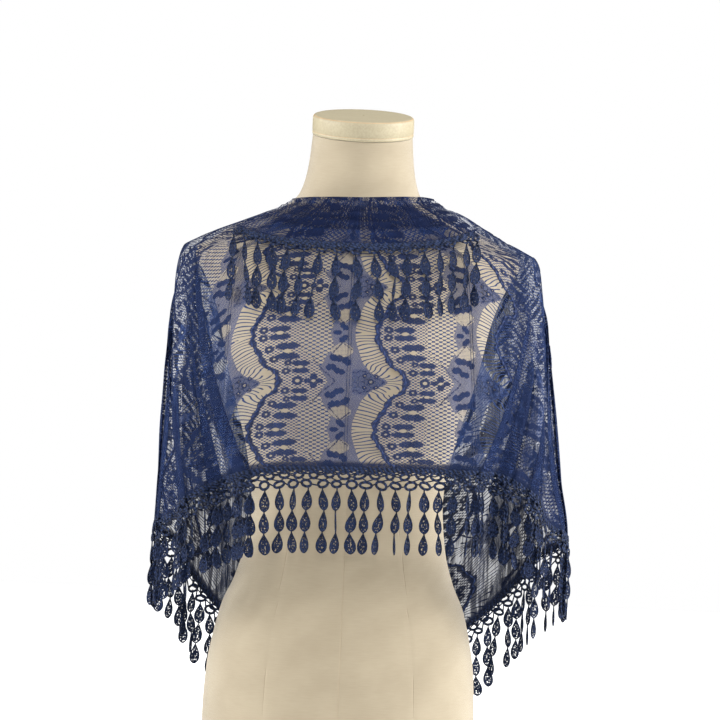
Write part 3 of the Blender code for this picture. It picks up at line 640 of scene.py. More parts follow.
def lace_finish(name, dense, light, deep):
    """Make the lace: nets, ladders and solid petals, from the marks of the chart, with painted shade and
    highlight at its creases and painted shade in its bunched folds.
    """
    finish = Finish(name, roughness=0.75, gloss=0.08)
    spread, x, y = finish.flat()
    wobble = finish.noise(spread, 1.6, 1.0) * 0.10
    xw = x + wobble
    yw = y + wobble * 0.6
    thin = finish.node("ShaderNodeMapRange", {}, {"Value": finish.mark("solid"), "From Min": 0.7,
                                                  "From Max": 0.84, "To Min": 1.0, "To Max": 0.55})
    hole = holes(x, y, *FINE_NET) * thin
    for zone, cut in (("ground", holes(xw, yw, *GROUND_NET)),
                      ("hatch", holes(xw + yw, xw - yw, *SLANTED_NET)),
                      ("ovals", holes(xw, yw, *OVAL_NET))):
        share = finish.mark(zone).ease(-0.05, 0.05)
        hole = hole * (1.0 - share) + cut * share
    stripe = (finish.mark("thread").part() - 0.5).size()
    threads = stripe.ease(0.330, 0.410) * (1.0 - finish.mark("window").ease(-0.03, 0.05))
    clear = finish.mark("clear").ease(-0.02, 0.05)
    cover = (1.0 - hole) * (1.0 - clear) + threads * clear
    ragged = (finish.noise(spread, 3.6, 3.0, 0.75) - 0.5) * 0.42
    petals = (finish.mark("dark") + ragged).ease(-0.03, 0.035)
    mesh_in_petal = holes(x, y, *PETAL_NET)
    cover = cover.most(petals * (1.0 - mesh_in_petal * 0.25)) * (1.0 - finish.mark("hole").ease(-0.03, 0.04))
    edge = finish.mark("edge") * (0.92 + ragged * 0.9)
    cover = cover.most(edge.least(0.97))
    petals = petals.most(edge)
    # Bunched cloth: thicker cover, and further down a painted shade in its colour
    drawn = finish.mark("bunch_cover_and_shade")
    stretch = finish.node("ShaderNodeMapping", {}, {"Vector": spread, "Scale": (1.7, 0.12, 1.0)})
    # Streaks along the folds: they vary the extra cover, and in the colour they paint shade along the folds
    streak = finish.noise(stretch, 1.6, 3.0, 0.6).ease(0.36, 0.64)
    cover = cover + (1.0 - cover) * (drawn * (0.16 + streak * 0.44) + dense).least(0.94)
    patch = finish.noise(spread, 0.55, 2.0)
    # The colour deepens with the petals and a random patchiness, and with painted shade in crease troughs,
    # painted highlight on crease ridges and painted shade over bunched folds
    depth = petals * 0.6 + patch * 0.3 + (finish.mark("crease_shade") - 0.5) * 0.8 + drawn * (streak * 0.7 + 0.3)
    depth = depth.least(1.0).most(0.0)
    colour = finish.mix(edge.least(1.0) * 0.85, finish.mix(depth, light, deep), HEM_COLOUR)
    knit = ((x * 42.0).wave() * (y * 50.0).wave()) * 0.5 + petals * 1.2
    return finish.set(Base_Color=colour, Alpha=cover, Normal=finish.bump(knit, 0.45, 0.0006))


def yarn_finish(name, light, deep, turns=9.0, strength=0.8):
    """Make twisted, tightly worked thread."""
    finish = Finish(name, roughness=0.6, gloss=0.2)
    spread, along, around = finish.flat()
    twist = (along * turns + around * FULL_TURN).wave()
    fuzz = finish.noise(spread, 9.0, 3.0)
    length = finish.noise(spread, 0.45, 2.0)
    colour = finish.mix((twist * 0.25 + fuzz * 0.45 + length * 0.5).ease(0.15, 0.85), deep, light)
    return finish.set(Base_Color=colour, Normal=finish.bump(twist + fuzz, strength, 0.0005))


def openwork_finish(name, light, deep):
    """Make the worked fill of a teardrop."""
    finish = Finish(name, roughness=0.6, gloss=0.2)
    spread, x, y = finish.flat()
    cut = finish.noise(spread, 4.6, 1.5).ease(0.565, 0.615) * (1.0 - x.size().ease(0.26, 0.38))
    fuzz = finish.noise(spread, 8.0, 2.0)
    rows = (y * 37.0).wave()
    colour = finish.mix(fuzz.ease(0.2, 0.8), deep, light)
    return finish.set(Base_Color=colour, Alpha=1.0 - cut * 0.9,
                      Normal=finish.bump(rows * 0.6 + fuzz - cut, 0.9, 0.0006))


def linen_finish():
    """Make the cream cover of the form: plain weave, with its seams sunk in."""
    finish = Finish("linen_cover", roughness=0.88, sheen=0.3)
    spread, x, y = finish.flat()
    weave = (x * WEAVE).wave() * (y * WEAVE).wave()
    slub = finish.noise(finish.node("ShaderNodeMapping", {}, {"Vector": spread, "Scale": (0.4, 5.0, 1.0)}),
                        1.6, 3.0)
    cloudy = finish.noise(spread, 0.16, 3.0)
    seam = finish.mark("seam")
    line = 1.0 - seam.ease(0.02, 0.10)
    beside = 1.0 - seam.ease(0.0, 0.55)
    colour = finish.mix((cloudy * 0.7 + slub * 0.3).ease(0.25, 0.75), (0.295, 0.244, 0.165, 1),
                        (0.360, 0.302, 0.210, 1))
    colour = finish.mix(line * 0.5, colour, (0.33, 0.26, 0.17, 1))
    relief = weave * 0.25 + slub * 0.5 - line * 2.4 - beside * 0.8
    return finish.set(Base_Color=colour, Normal=finish.bump(relief, 0.5, 0.0006))


def cap_finish(name, light, deep, grain):
    """Make painted or bare wood with a faint grain."""
    finish = Finish(name, roughness=0.55)
    place = finish.node("ShaderNodeTexCoord", out="Object")
    stretch = finish.node("ShaderNodeMapping", {}, {"Vector": place, "Scale": (14.0, 90.0, 14.0)})
    figure = finish.noise(stretch, 1.4, 4.0, 0.6)
    speck = finish.noise(place, 420.0, 2.0)
    colour = finish.mix((figure * grain + speck * (1.0 - grain)).ease(0.3, 0.7), deep, light)
    return finish.set(Base_Color=colour, Roughness=speck * 0.2 + 0.48,
                      Normal=finish.bump(figure * grain + speck * 0.4, 0.35, 0.0004))


# Meshes

def quads(number):
    """List the four corners of each cell of numbered grids."""
    corners = (number[..., :-1, :-1], number[..., :-1, 1:], number[..., 1:, 1:], number[..., 1:, :-1])
    return np.stack(corners, axis=-1).reshape(-1, 4)


def part_of(points, faces, flat, kind=0):
    """Gather what make_piece joins: points, blocks of faces, flat places and the material's number."""
    return points.reshape(-1, 3), faces, flat.reshape(-1, 2), kind


def grid_part(points, flat, order=1):
    """Gather a whole grid. An order of -1 turns its faces over."""
    rows, columns = points.shape[:2]
    return part_of(points, [quads(np.arange(rows * columns).reshape(rows, columns))[:, ::order]], flat)


def tubes(paths, wide, thick=None, sides=6, closed=False, up=UP):
    """Make a round or flat tube along each path."""
    paths = np.asarray(paths, dtype=float)
    if up.ndim == 2:
        up = up[None] if paths.ndim == 2 else up[:, None, :]
    if paths.ndim == 2:
        paths = paths[None]
    count, stations = paths.shape[:2]
    ahead = np.roll(paths, -1, axis=1) - np.roll(paths, 1, axis=1) if closed else np.gradient(paths, axis=1)
    ahead = unit(ahead)
    across = unit(np.cross(ahead, np.broadcast_to(up, paths.shape)))
    over = np.cross(across, ahead)
    turn = np.arange(sides) * 2 * np.pi / sides
    points = (paths[:, :, None] + across[:, :, None] * (wide * np.cos(turn))[:, None]
              + over[:, :, None] * ((thick or wide) * np.sin(turn))[:, None])
    number = np.arange(count * stations * sides).reshape(count, stations, sides)
    number = np.concatenate([number, number[:, :, :1]], axis=2)
    if closed:
        faces = [quads(np.concatenate([number, number[:, :1]], axis=1))]
    else:
        faces = [quads(number), number[:, 0, :-1][:, ::-1], number[:, -1, :-1]]
    return part_of(points, faces, stacked(path_lengths(paths)[..., None], turn / (2 * np.pi)))


def fill(owner, name, values, kind=np.int32):
    owner.foreach_set(name, np.ravel(values).astype(kind))


def make_piece(name, parts, materials, marks=None, replaced=()):
    points, flats, loops, sizes, kinds = [], [], [], [], []
    offset = 0
    for part_points, faces, flat, kind in parts:
        points.append(part_points)
        flats.append(flat)
        for block in faces:
            loops.append((block + offset).ravel())
            sizes.append(np.full(len(block), block.shape[1]))
            kinds.append(np.broadcast_to(kind, len(block)))
        offset += len(part_points)
    points = (np.concatenate(points) + UP * WAIST_HEIGHT) * CM
    loops = np.concatenate(loops)
    sizes = np.concatenate(sizes)
    mesh = bpy.data.meshes.new(name)
    mesh.vertices.add(len(points))
    mesh.loops.add(len(loops))
    mesh.polygons.add(len(sizes))
    fill(mesh.vertices, "co", points, np.float32)
    fill(mesh.loops, "vertex_index", loops)
    fill(mesh.polygons, "loop_start", np.cumsum(sizes) - sizes)
    fill(mesh.polygons, "loop_total", sizes)
    fill(mesh.polygons, "material_index", np.concatenate(kinds))
    fill(mesh.uv_layers.new(name="flat").data, "uv", np.concatenate(flats)[loops], np.float32)
    for mark, values in (marks or {}).items():
        fill(mesh.attributes.new(mark, "FLOAT", "POINT").data, "value", values, np.float32)
    mesh.update(calc_edges=True)
    for material in materials:
        mesh.materials.append(material)
    mesh.shade_smooth()
    piece = bpy.data.objects.new(name, mesh)
    bpy.context.scene.collection.objects.link(piece)
    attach(piece, "root")
    if replaced:
        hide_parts(*replaced)
    return piece


# Finishes

LACE = lace_finish("lace_knit", 0.0, (0.021, 0.040, 0.118, 1), (0.006, 0.013, 0.046, 1))
# A darker, denser copy of the lace for the turned-out collar: denser for the doubled cloth, and darker as
# painted shade
COLLAR_LACE = lace_finish("lace_knit_doubled_shaded", 0.14, (0.010, 0.024, 0.084, 1), (0.002, 0.006, 0.028, 1))
CORD_YARN = yarn_finish("lace_cord", (0.017, 0.034, 0.110, 1), (0.005, 0.011, 0.042, 1))
TRIM_YARN = yarn_finish("crochet_yarn", (0.013, 0.027, 0.082, 1), (0.002, 0.005, 0.016, 1), 11.0, 1.0)
TRIM_FILL = openwork_finish("teardrop_work", (0.013, 0.028, 0.088, 1), (0.004, 0.009, 0.032, 1))
# A darker, denser copy of the lace for the back stretches: its darker colour is painted shade for the cloth
# that hangs behind the form
SHADED_BACK_LACE = lace_finish("lace_knit_back_shaded", 0.38, (0.013, 0.022, 0.060, 1), (0.004, 0.008, 0.028, 1))
LINEN = linen_finish()
CAP_WOOD = cap_finish("cap_painted", (0.375, 0.328, 0.218, 1), (0.315, 0.270, 0.175, 1), 0.35)
CAP_RIM = cap_finish("cap_rim_bare", (0.46, 0.33, 0.19, 1), (0.36, 0.25, 0.14, 1), 0.7)
BOARD_WOOD = cap_finish("board_wood", (0.52, 0.40, 0.26, 1), (0.38, 0.27, 0.16, 1), 0.8)

# The lace, one piece for each stretch of the solids: its ends, the step of its grid and its rows

ENDS = (float(RING_WAY[0]) + 0.02, float(RING_WAY[-1]) - 0.02)
SEAMS_AT = [float(way_at(angle)) for angle in (-112.0, -68.0, 68.0, 112.0)]
STRETCHES = {
    "back_left": (ENDS[0], SEAMS_AT[0], 0.2, 190),
    "side_left": (SEAMS_AT[0], SEAMS_AT[1], 0.18, 210),
    "front": (SEAMS_AT[1], SEAMS_AT[2], 0.18, 196),
    "side_right": (SEAMS_AT[2], SEAMS_AT[3], 0.18, 210),
    "back_right": (SEAMS_AT[3], ENDS[1], 0.2, 190),
}
CORD_MARGIN = 0.25
RIBS = (7.72, 8.02)
FLOWER_AT = -4.3
FLOWER_PETALS = [(0.72 * math.cos(turn), 0.66 * math.sin(turn), 0.34)
                 for turn in np.radians(np.arange(30, 390, 60))]
FLOWER_BUDS = [(-1.35, 0.35, 0.3), (-1.35, -0.35, 0.3), (1.25, 0.0, 0.3)]
FLOWER = table("x v size", [(0.0, 0.0, 0.26)] + FLOWER_PETALS + FLOWER_BUDS)


def cords_on(sheet):
    """Lay the scalloped cords, ribs and flower rings of the chart on a sheet."""
    low = float(np.max(sheet.way[:, 0])) + CORD_MARGIN
    high = float(np.min(sheet.way[:, -1])) - CORD_MARGIN
    parts = []

    def longest(way):
        return np.interp(way, sheet.way[len(sheet.way) // 2], sheet.rise[-1])

    def lay(way, rise, lift, wide, thick, **shape):
        path, normal = sheet.at(way, rise, lift)
        parts.append(tubes(path, wide, thick, up=normal, **shape))

    rise = np.arange(0.3, float(np.max(sheet.rise)) - 0.3, 0.22)
    scallop = straight(CORD, "x", repeat_place(0.0, rise)[1])
    turn = np.arange(12) * np.pi / 6
    first = int(math.floor((low - LACE_CORD_AT) / LACE_REPEAT)) - 1
    for number in range(first, first + 9):
        base = LACE_CORD_AT + number * LACE_REPEAT
        way = base + scallop
        inside = (way > low) & (way < high)
        if inside.sum() > 30:
            spots = np.flatnonzero(inside & (rise < longest(way) - 0.2))
            for run in np.split(spots, np.flatnonzero(np.diff(spots) > 1) + 1):
                if len(run) > 6:
                    lay(way[run], rise[run], 0.03, 0.13, 0.055)
        for rib in RIBS:
            if low < base + rib < high:
                lay(base + rib, np.arange(0.3, longest(base + rib) - 0.2, 0.4), 0.02, 0.032, 0.028, sides=4)
        for cusp in CUSP_AT + CUSP_REPEAT * np.arange(3):
            for flower_x, flower_v, size in zip(*FLOWER.values()):
                ring_way = base + FLOWER_AT + flower_x + size * np.cos(turn) * 1.15
                ring_rise = cusp + flower_v + size * np.sin(turn)
                if (ring_way.min() > low and ring_way.max() < high
                        and ring_rise.max() < longest(base + FLOWER_AT)):
                    lay(ring_way, ring_rise, 0.02, 0.026, 0.026, sides=3, closed=True)
    return parts


sheets = {}
cloth = {}
for stretch, (start, end, step, rows) in STRETCHES.items():
    sheet = Sheet(start + SEAM_GAP / 2, end - SEAM_GAP / 2, step, rows)
    sheets[stretch] = sheet
    marks = lace_marks(sheet.way, sheet.rise)
    # These marks also carry painted shade and painted highlight into the lace's colour
    marks["bunch_cover_and_shade"] = sheet.bunch_cover_and_shade
    marks["crease_shade"] = sheet.crease_shade
    # The back stretches take the copy of the lace with painted shade
    knit = SHADED_BACK_LACE if "back" in stretch else LACE
    cloth[stretch] = make_piece("lace_" + stretch, [grid_part(sheet.points, stacked(sheet.way, sheet.rise))],
                                [knit], marks, ["shawl_" + stretch])
    # Without its shadow the form shows as bright through the lace as in the photograph
    cloth[stretch].visible_shadow = False
    make_piece("cords_" + stretch, cords_on(sheet), [CORD_YARN])


# The collar: the upper edge turned out and down

COLLAR_ROLL = table("outward down", [
    (-0.12, -0.03), (-0.02, -0.22), (0.12, -0.30), (0.32, -0.28), (0.45, -0.2), (0.55, 0.0), (0.6, 0.25),
    (0.62, 1.4), (0.62, 5.2),
])


def collar_point(angle, outward, down):
    """Give a point of the collar: over the cloth's upper edge first, and down its outside after it."""
    top = top_of(angle)
    reach = np.where(down > 0, down * (1.0 - 0.35 * (angle / COLLAR_REACH) ** 2), 0.0)
    return drape(angle, top - reach, outward) + UP * np.maximum(-down, 0.0)[..., None]


COLLAR_CREASES = table("down_left down_middle down_right width depth", [
    (0.50, 0.80, 0.60, 0.20, 0.12),
    (0.95, 1.35, 1.00, 0.16, -0.12),
    (1.45, 1.95, 1.30, 0.26, 0.20),
    (1.95, 2.45, 1.80, 0.16, -0.20),
    (2.60, 2.85, 2.55, 0.30, 0.24),
    (3.20, 3.35, 3.30, 0.16, -0.16),
    (4.05, 3.95, 4.30, 0.28, 0.12),
])


def make_collar():
    """Make the collar with the long creases that its roll leaves."""
    steps = np.hypot(np.diff(COLLAR_ROLL["outward"]), np.diff(COLLAR_ROLL["down"]))
    knots = np.concatenate([[0], np.cumsum(steps)])
    along = np.concatenate([np.linspace(0, knots[6], 14)[:-1], np.linspace(knots[6], knots[-1], 34)])
    along = along[:, None]
    turn = angle_at(np.linspace(way_at(-COLLAR_REACH), way_at(COLLAR_REACH), 330))[None, :] + 0 * along
    outward = np.interp(along, knots, COLLAR_ROLL["outward"]) + 0 * turn
    down = np.interp(along, knots, COLLAR_ROLL["down"]) + 0 * turn
    side = turn / COLLAR_REACH
    lift = 0.03 * np.sin(turn * 0.9) * np.sin(down * 2.6)
    for left, middle, right, width, depth in zip(*COLLAR_CREASES.values()):
        line = middle + (np.where(side < 0, left, right) - middle) * side ** 2
        line = line + 0.18 * np.sin(turn * 0.11 + left * 3)
        lift = lift + depth * bell(down - line, width) * (1.0 - 0.5 * np.abs(side))
    points = collar_point(turn, outward + SHELL_SINK + lift * ease(0.1, 0.5, down), down)
    way = way_at(turn) * 1.04
    rise = 33.5 + along + 0 * turn
    marks = lace_marks(way, rise)
    middle = ease(0.5, 1.3, down) * (1.0 - ease(2.9, 3.9, down)) * (1.0 - 0.45 * side ** 2)
    # Bunched middle of the collar: thicker cover, and painted shade in its colour
    marks["bunch_cover_and_shade"] = 0.45 + 0.95 * middle + 0.2 * np.sin(way * 0.7 + down * 1.4) ** 2
    # Painted shade in the collar's crease troughs and over its middle, painted highlight on its ridges
    marks["crease_shade"] = np.clip(0.55 - 2.6 * lift + 0.25 * middle, 0.0, 1.0)
    marks["edge"] = ease(COLLAR_DEPTH - 0.35, COLLAR_DEPTH - 0.1, down)
    return make_piece("lace_collar", [grid_part(points, stacked(way, rise), -1)], [COLLAR_LACE], marks,
                      ["collar_fold"])


collar = make_collar()


# The trim: a braid, rings and strands of teardrops

BRAID = table("depth thick phase", [
    (0.02, 0.135, 0.0), (0.18, 0.135, 2.1), (0.36, 0.126, 4.2), (0.55, 0.072, 1.1), (0.72, 0.072, 3.3),
])
HEM_RINGS = table("depth wide tall shift", [(0.86, 0.31, 0.36, 0.0), (1.88, 0.315, 0.40, 0.5)])
COLLAR_RINGS = table("depth wide tall shift", [(0.80, 0.33, 0.40, 0.5)])
RING_THREAD = 0.155
RING_PLACES = 18
TRIM_PITCH = 1.75
STRAND_THREAD = 0.085
VEIN_THREAD = 0.036
VEIN_BENDS = (-0.42, 0.0, 0.42)
DROP_LONG = 2.3
DROP_PITCH = 2.42
DROP_WIDE = 0.54
DROP_SHAPE = table("down wide", [
    (0, 0.05), (0.1, 0.17), (0.22, 0.42), (0.36, 0.72), (0.5, 0.93), (0.62, 1), (0.75, 0.97),
    (0.86, 0.79), (0.94, 0.5), (0.99, 0.17), (1, 0.04),
])


class Hem:
    """An edge that trim hangs from: places, the direction down the cloth and the direction out."""

    def __init__(self, points, downward, outward):
        self.points = points
        self.downward = unit(downward)
        self.outward = unit(outward)
        self.way = path_lengths(points)

    def at(self, way):
        """Give places of the edge, with the directions along it, down and out."""
        spot, down, out = (stacked(*(np.interp(way, self.way, column) for column in grid.T))
                           for grid in (self.points, self.downward, self.outward))
        down = unit(down)
        side = unit(np.cross(-down, unit(out)))
        return spot, side, down, np.cross(side, -down)


def hem_of_sheet(sheet):
    down = sheet.points[0] - sheet.points[4]
    return Hem(sheet.points[0], down, outward_at(sheet.angle[0], hem_of(sheet.angle[0])))


def hem_of_collar():
    angles = angle_at(np.linspace(way_at(-53.0), way_at(53.0), 400))
    edge = collar_point(angles, COLLAR_OFFSET - 0.02, np.full(angles.shape, COLLAR_DEPTH))
    above = collar_point(angles, COLLAR_OFFSET - 0.02, np.full(angles.shape, COLLAR_DEPTH - 0.4))
    return Hem(edge, edge - above, outward_at(angles, edge[:, 2]))


def straight_below(root, height, outward):
    """Find the cloth's outside straight below a point, as a hanging strand meets it."""
    near = np.linspace(-75.0, 75.0, 301)
    ring = drape(near, np.full(near.shape, height), np.full(near.shape, outward))
    return np.array([root[0], np.interp(root[0], ring[:, 0], ring[:, 1]), height])


def drop_plate(middles, side, out, halves, lengths):
    """Fill each teardrop with a slightly domed plate."""
    across = np.linspace(-1.0, 1.0, 5)
    number = np.arange(halves.size * 5).reshape(*halves.shape, 5)
    reach = halves[..., None] * across
    dome = 0.05 * (1.0 - across ** 2) * (halves / DROP_WIDE)[..., None]
    points = (middles[:, :, None] + side[:, None, None] * reach[..., None] * 0.96
              + out[:, None, None] * dome[..., None])
    offset = 3.7 * np.arange(len(halves))[:, None, None] + chance.uniform(0, 40)
    return part_of(points, [quads(number)], stacked(reach, lengths[None, :, None] + offset), 1)


def ring_rows(hem, rows, pitch, count):
    """Work rows of small uneven rings, each tied to its neighbours and slantwise to the row above."""
    parts = []
    turn = np.arange(RING_PLACES) * 2 * np.pi / RING_PLACES
    above = None
    for depth, wide, tall, shift in zip(*rows.values()):
        places = (np.arange(count) + shift) * pitch if shift else (np.arange(count - 1) + 1.0) * pitch
        number = len(places)
        spot, side, down, out = hem.at(places + 0.06 * chance.standard_normal(number))
        half = (wide * pitch * (1.0 + 0.09 * chance.standard_normal(number)))[:, None]
        high = (tall * (1.0 + 0.10 * chance.standard_normal(number)))[:, None]
        tilt = (0.22 * chance.standard_normal(number))[:, None]
        swing = (0.18 * chance.standard_normal(number))[:, None, None]
        middle = spot + down * (depth + 0.05 * chance.standard_normal(number))[:, None]
        across = half * np.cos(turn) * np.cos(tilt) - high * np.sin(turn) * np.sin(tilt)
        along = half * np.cos(turn) * np.sin(tilt) + high * np.sin(turn) * np.cos(tilt)
        ring = (middle[:, None] + side[:, None] * across[..., None] + down[:, None] * along[..., None]
                + out[:, None] * (0.06 + swing * across[..., None]))
        parts.append(tubes(ring, RING_THREAD, 0.09, closed=True, up=out))
        share = np.linspace(0.0, 1.0, 4)[None, :, None]

        def tie(first, last, thick):
            """Tie two rows of places together with short threads."""
            path = first[:, None] * (1 - share) + last[:, None] * share
            parts.append(tubes(path, thick, up=out[:len(first)]))

        # Of a ring's 18 places 0 and 9 are at its two sides, 4 at its bottom and 12 to 15 at its top
        tie(ring[:-1, 0], ring[1:, 9], 0.085)
        if above is None:
            tie(ring[:, 14], spot + down * 0.40, 0.09)
        else:
            tie(ring[1:, 15], above[:number - 1], 0.075)
            tie(ring[:-1, 12], above[:number - 1], 0.075)
        above = ring[:, 4]
    return parts


def trim_parts(hem, rows, hugs_cloth=False, tangle=0.0):
    """Work the whole trim along a hem."""
    parts = []
    total = hem.way[-1]
    count = max(2, int(round(total / TRIM_PITCH)))
    pitch = total / count
    spot, side, down, out = hem.at(np.linspace(0.04, total - 0.04, max(12, int(total / 0.16))))
    beat = np.arange(len(spot)) * 1.05
    for depth, thick, phase in zip(*BRAID.values()):
        weave = (0.07 * np.sin(beat + phase))[:, None]
        lift = (0.03 + 0.05 * np.cos(beat + phase))[:, None]
        parts.append(tubes(spot + down * (depth + weave) + out * lift, thick, 0.085, up=out))
    parts += ring_rows(hem, rows, pitch, count)
    spot, side, down, out = hem.at((np.arange(count) + 0.5) * pitch)
    lowest = rows["depth"][-1] + rows["tall"][-1]
    root = spot + down * (lowest - 0.04) + out * 0.05
    level = unit(side * (1.0 - UP))
    front = stacked(level[:, 1], -level[:, 0], 0.0)
    turned = np.radians(chance.normal(0, 14, count))
    lean = chance.normal(0, 0.03 + tangle, count)
    swing = chance.normal(0, 0.11 + tangle, (4, count))
    fore = 0.14 * np.sin(np.arange(count) * 2.1)

    def hang(depth, knot):
        """Find where a strand has come to, some way below its ring."""
        place = root - UP * depth
        place = place + level * (lean * depth + swing[knot] * min(1.0, depth))[:, None]
        place = place + front * (fore * min(1.0, depth / 1.2))[:, None]
        if hugs_cloth:
            place = np.array([straight_below(one, one[2], COLLAR_OFFSET + 0.14) for one in place])
        return place

    shape_down = DROP_SHAPE["down"]
    shape_wide = DROP_SHAPE["wide"]
    outline_down = np.concatenate([shape_down, shape_down[-2:0:-1]])
    outline_wide = np.concatenate([shape_wide, -shape_wide[-2:0:-1]])
    step = np.linspace(0.0, 1.0, 9)
    edge_share, yaw_spread = (0.04, 10) if hugs_cloth else (0.10, 22)
    before = root + UP * 0.05
    for drop in range(3):
        seen_edge_on = chance.random(count) < edge_share
        edge_on = np.where(seen_edge_on, chance.uniform(55, 85, count), 0.0)
        yaw = turned + np.radians(edge_on + chance.normal(0, yaw_spread, count))
        face = level * np.cos(yaw)[:, None] + front * np.sin(yaw)[:, None]
        ahead = np.cross(face, UP)
        size = DROP_WIDE * (1.0 + 0.06 * chance.standard_normal(count))[:, None]
        fall = 0.30 + drop * DROP_PITCH
        high = hang(fall, drop)
        low = hang(fall + DROP_LONG, drop + 1)
        run = low - high

        def along(shares, reach):
            """Give places a share of the way down each teardrop and some way out from its middle."""
            return high[:, None] + run[:, None] * shares[:, None] + face[:, None] * reach[..., None]

        outline = along(outline_down, size * outline_wide)
        parts.append(tubes(outline, STRAND_THREAD, 0.075, sides=5, closed=True, up=ahead))
        parts.append(drop_plate(along(shape_down, 0.0 * shape_down), face, ahead, size * shape_wide,
                                shape_down * DROP_LONG))
        for bend in VEIN_BENDS:
            vein = along(step, bend * size * straight(DROP_SHAPE, "wide", step)) + ahead[:, None] * 0.05
            parts.append(tubes(vein[:, 1:-1], VEIN_THREAD, sides=4, up=ahead))
        link = np.stack([before, 0.5 * (before + high), high + 0.03 * run], axis=1)
        parts.append(tubes(link, STRAND_THREAD, up=ahead))
        before = low - 0.03 * run
    return parts


TRIM_FINISHES = [TRIM_YARN, TRIM_FILL]
for stretch in STRETCHES:
    parts = trim_parts(hem_of_sheet(sheets[stretch]), HEM_RINGS)
    make_piece("fringe_" + stretch, parts, TRIM_FINISHES, None, ["trim_" + stretch])
parts = trim_parts(hem_of_collar(), COLLAR_RINGS, hugs_cloth=True, tangle=0.05)
make_piece("fringe_collar", parts, TRIM_FINISHES, None, ["trim_collar"])


# The dress form

SEAMS = table("height front_x back_x", [
    (-31, 8.9, 8.2), (-20, 8.4, 7.6), (-10, 7.2, 6.2), (0, 5.7, 5), (8, 6.3, 5.8), (16.6, 7.5, 7.2),
    (24, 8, 8.2), (30, 8.6, 8.8), (34, 8.8, 9),
])
SEAMS_END = 31.0
NECK_SEAM = 34.6


def form_points(heights, segments):
    """Give the torso's rings, with its bust and its tilted neck, and how far each place is from a seam."""
    heights, angles = np.meshgrid(heights, np.linspace(-180.0, 180.0, segments + 1), indexing="ij")
    x, y = section_point(angles, *columns_at(FORM, heights))
    away = np.hypot(np.abs(x) - BUST_AT[0], heights - BUST_AT[1])
    y = y - np.where(y < 0, BUST_RISE * bell(away, BUST_SPREAD), 0.0)
    share = np.clip((heights - TILT_STARTS) / (NECK_TOP - TILT_STARTS), 0.0, 1.0)
    seam_x = np.where(y < 0, straight(SEAMS, "front_x", heights), straight(SEAMS, "back_x", heights))
    near = np.minimum(np.abs(np.abs(x) - seam_x), np.minimum(np.abs(x), np.abs(y)))
    seam = np.minimum(np.where(heights < SEAMS_END, near, 9.0), np.abs(heights - NECK_SEAM) + 0.05)
    points = stacked(x, y, heights + y * math.tan(NECK_TILT) * share)
    return points, seam, stacked(path_lengths(points), heights)


def make_form():
    heights = np.concatenate([np.linspace(-30.97, 26.0, 120), np.linspace(26.0, 35.5, 40)[1:],
                              np.linspace(35.5, NECK_TOP, 18)[1:]])
    points, seam, flat = form_points(heights, 220)
    parts = [grid_part(points, flat)]
    for row, order in ((0, -1), (-1, 1)):
        ring = points[row, :-1]
        number = np.arange(len(ring))
        fan = stacked(number, np.roll(number, -1), len(ring))[:, ::order]
        parts.append(part_of(np.vstack([ring, ring.mean(axis=0)]), [fan], np.zeros((len(ring) + 1, 2))))
    marks = {"seam": np.concatenate([seam.ravel()] + [np.full(len(lid[0]), 5.0) for lid in parts[1:]])}
    make_piece("form_cover", parts, [LINEN], marks, ["dress_form"])


CAP_PROFILE = table("up inset kind", [
    (0, 0.3, 0), (0.02, 0.1, 0), (0.1, 0.02, 0), (0.3, 0, 0), (0.38, 0.05, 1), (0.44, 0.05, 1),
    (0.52, 0, 0), (1.2, 0, 0), (1.85, 0, 0), (2.02, 0.02, 0), (2.15, 0.09, 1), (2.24, 0.2, 1),
    (2.29, 0.36, 0), (2.3, 0.6, 0), (2.3, 2.5, 0), (2.3, 4.5, 0), (2.3, 5.75, 0),
])


def make_cap():
    """Make the neck's cap, square to the tilted neck."""
    segments = 120
    turn = np.linspace(-np.pi, np.pi, segments + 1)
    radius = CAP_RADIUS - CAP_PROFILE["inset"][:, None]
    x = np.sin(turn) * radius
    y = -np.cos(turn) * radius
    rise = CAP_PROFILE["up"][:, None] + SEAM_GAP + 0 * x
    points = stacked(x, y * math.cos(NECK_TILT) - rise * math.sin(NECK_TILT),
                     y * math.sin(NECK_TILT) + rise * math.cos(NECK_TILT) + NECK_TOP)
    kinds = np.repeat(CAP_PROFILE["kind"][1:] * CAP_PROFILE["kind"][:-1], segments)
    part = grid_part(points, stacked(turn * CAP_RADIUS, rise))[:3] + (kinds,)
    make_piece("neck_cap_finished", [part], [CAP_WOOD, CAP_RIM], None, ["neck_cap"])


make_form()
make_cap()
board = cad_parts["form_base"]
board.data.materials.clear()
board.data.materials.append(BOARD_WOOD)


# Floor, light and camera

LAMPS = (
    ("front", (0.05, -2.9, 1.35), 0.5, 19.0),
    ("right", (2.2, -0.35, 1.4), 1.3, 120.0),
    ("left", (-2.2, -0.45, 1.4), 1.3, 90.0),
    ("above", (0.0, 0.3, 2.4), 1.6, 12.0),
)
LAMPS_AIM = (0.0, 0.0, 0.5)
CHEST_LAMP_AT = (0.05, -2.6, 1.0)
CHEST_LAMP_AIM = (0.0, -0.1, 0.575)
FLOOR_REACH = 1.6
FLOOR_HEIGHT = -0.001
CAMERA_AIM = (0.0079, 0.0, 0.483)
CAMERA_AWAY = 3.6
CAMERA_RISE = math.radians(3.0)
CAMERA_ROLL = math.radians(2.48)


def set_up(name, data, spot, aim):
    """Put a lamp or a lens at a spot, facing another."""
    holder = bpy.data.objects.new(name, data)
    holder.location = spot
    holder.rotation_euler = (Vector(aim) - Vector(spot)).to_track_quat("-Z", "Y").to_euler()
    bpy.context.scene.collection.objects.link(holder)
    return holder


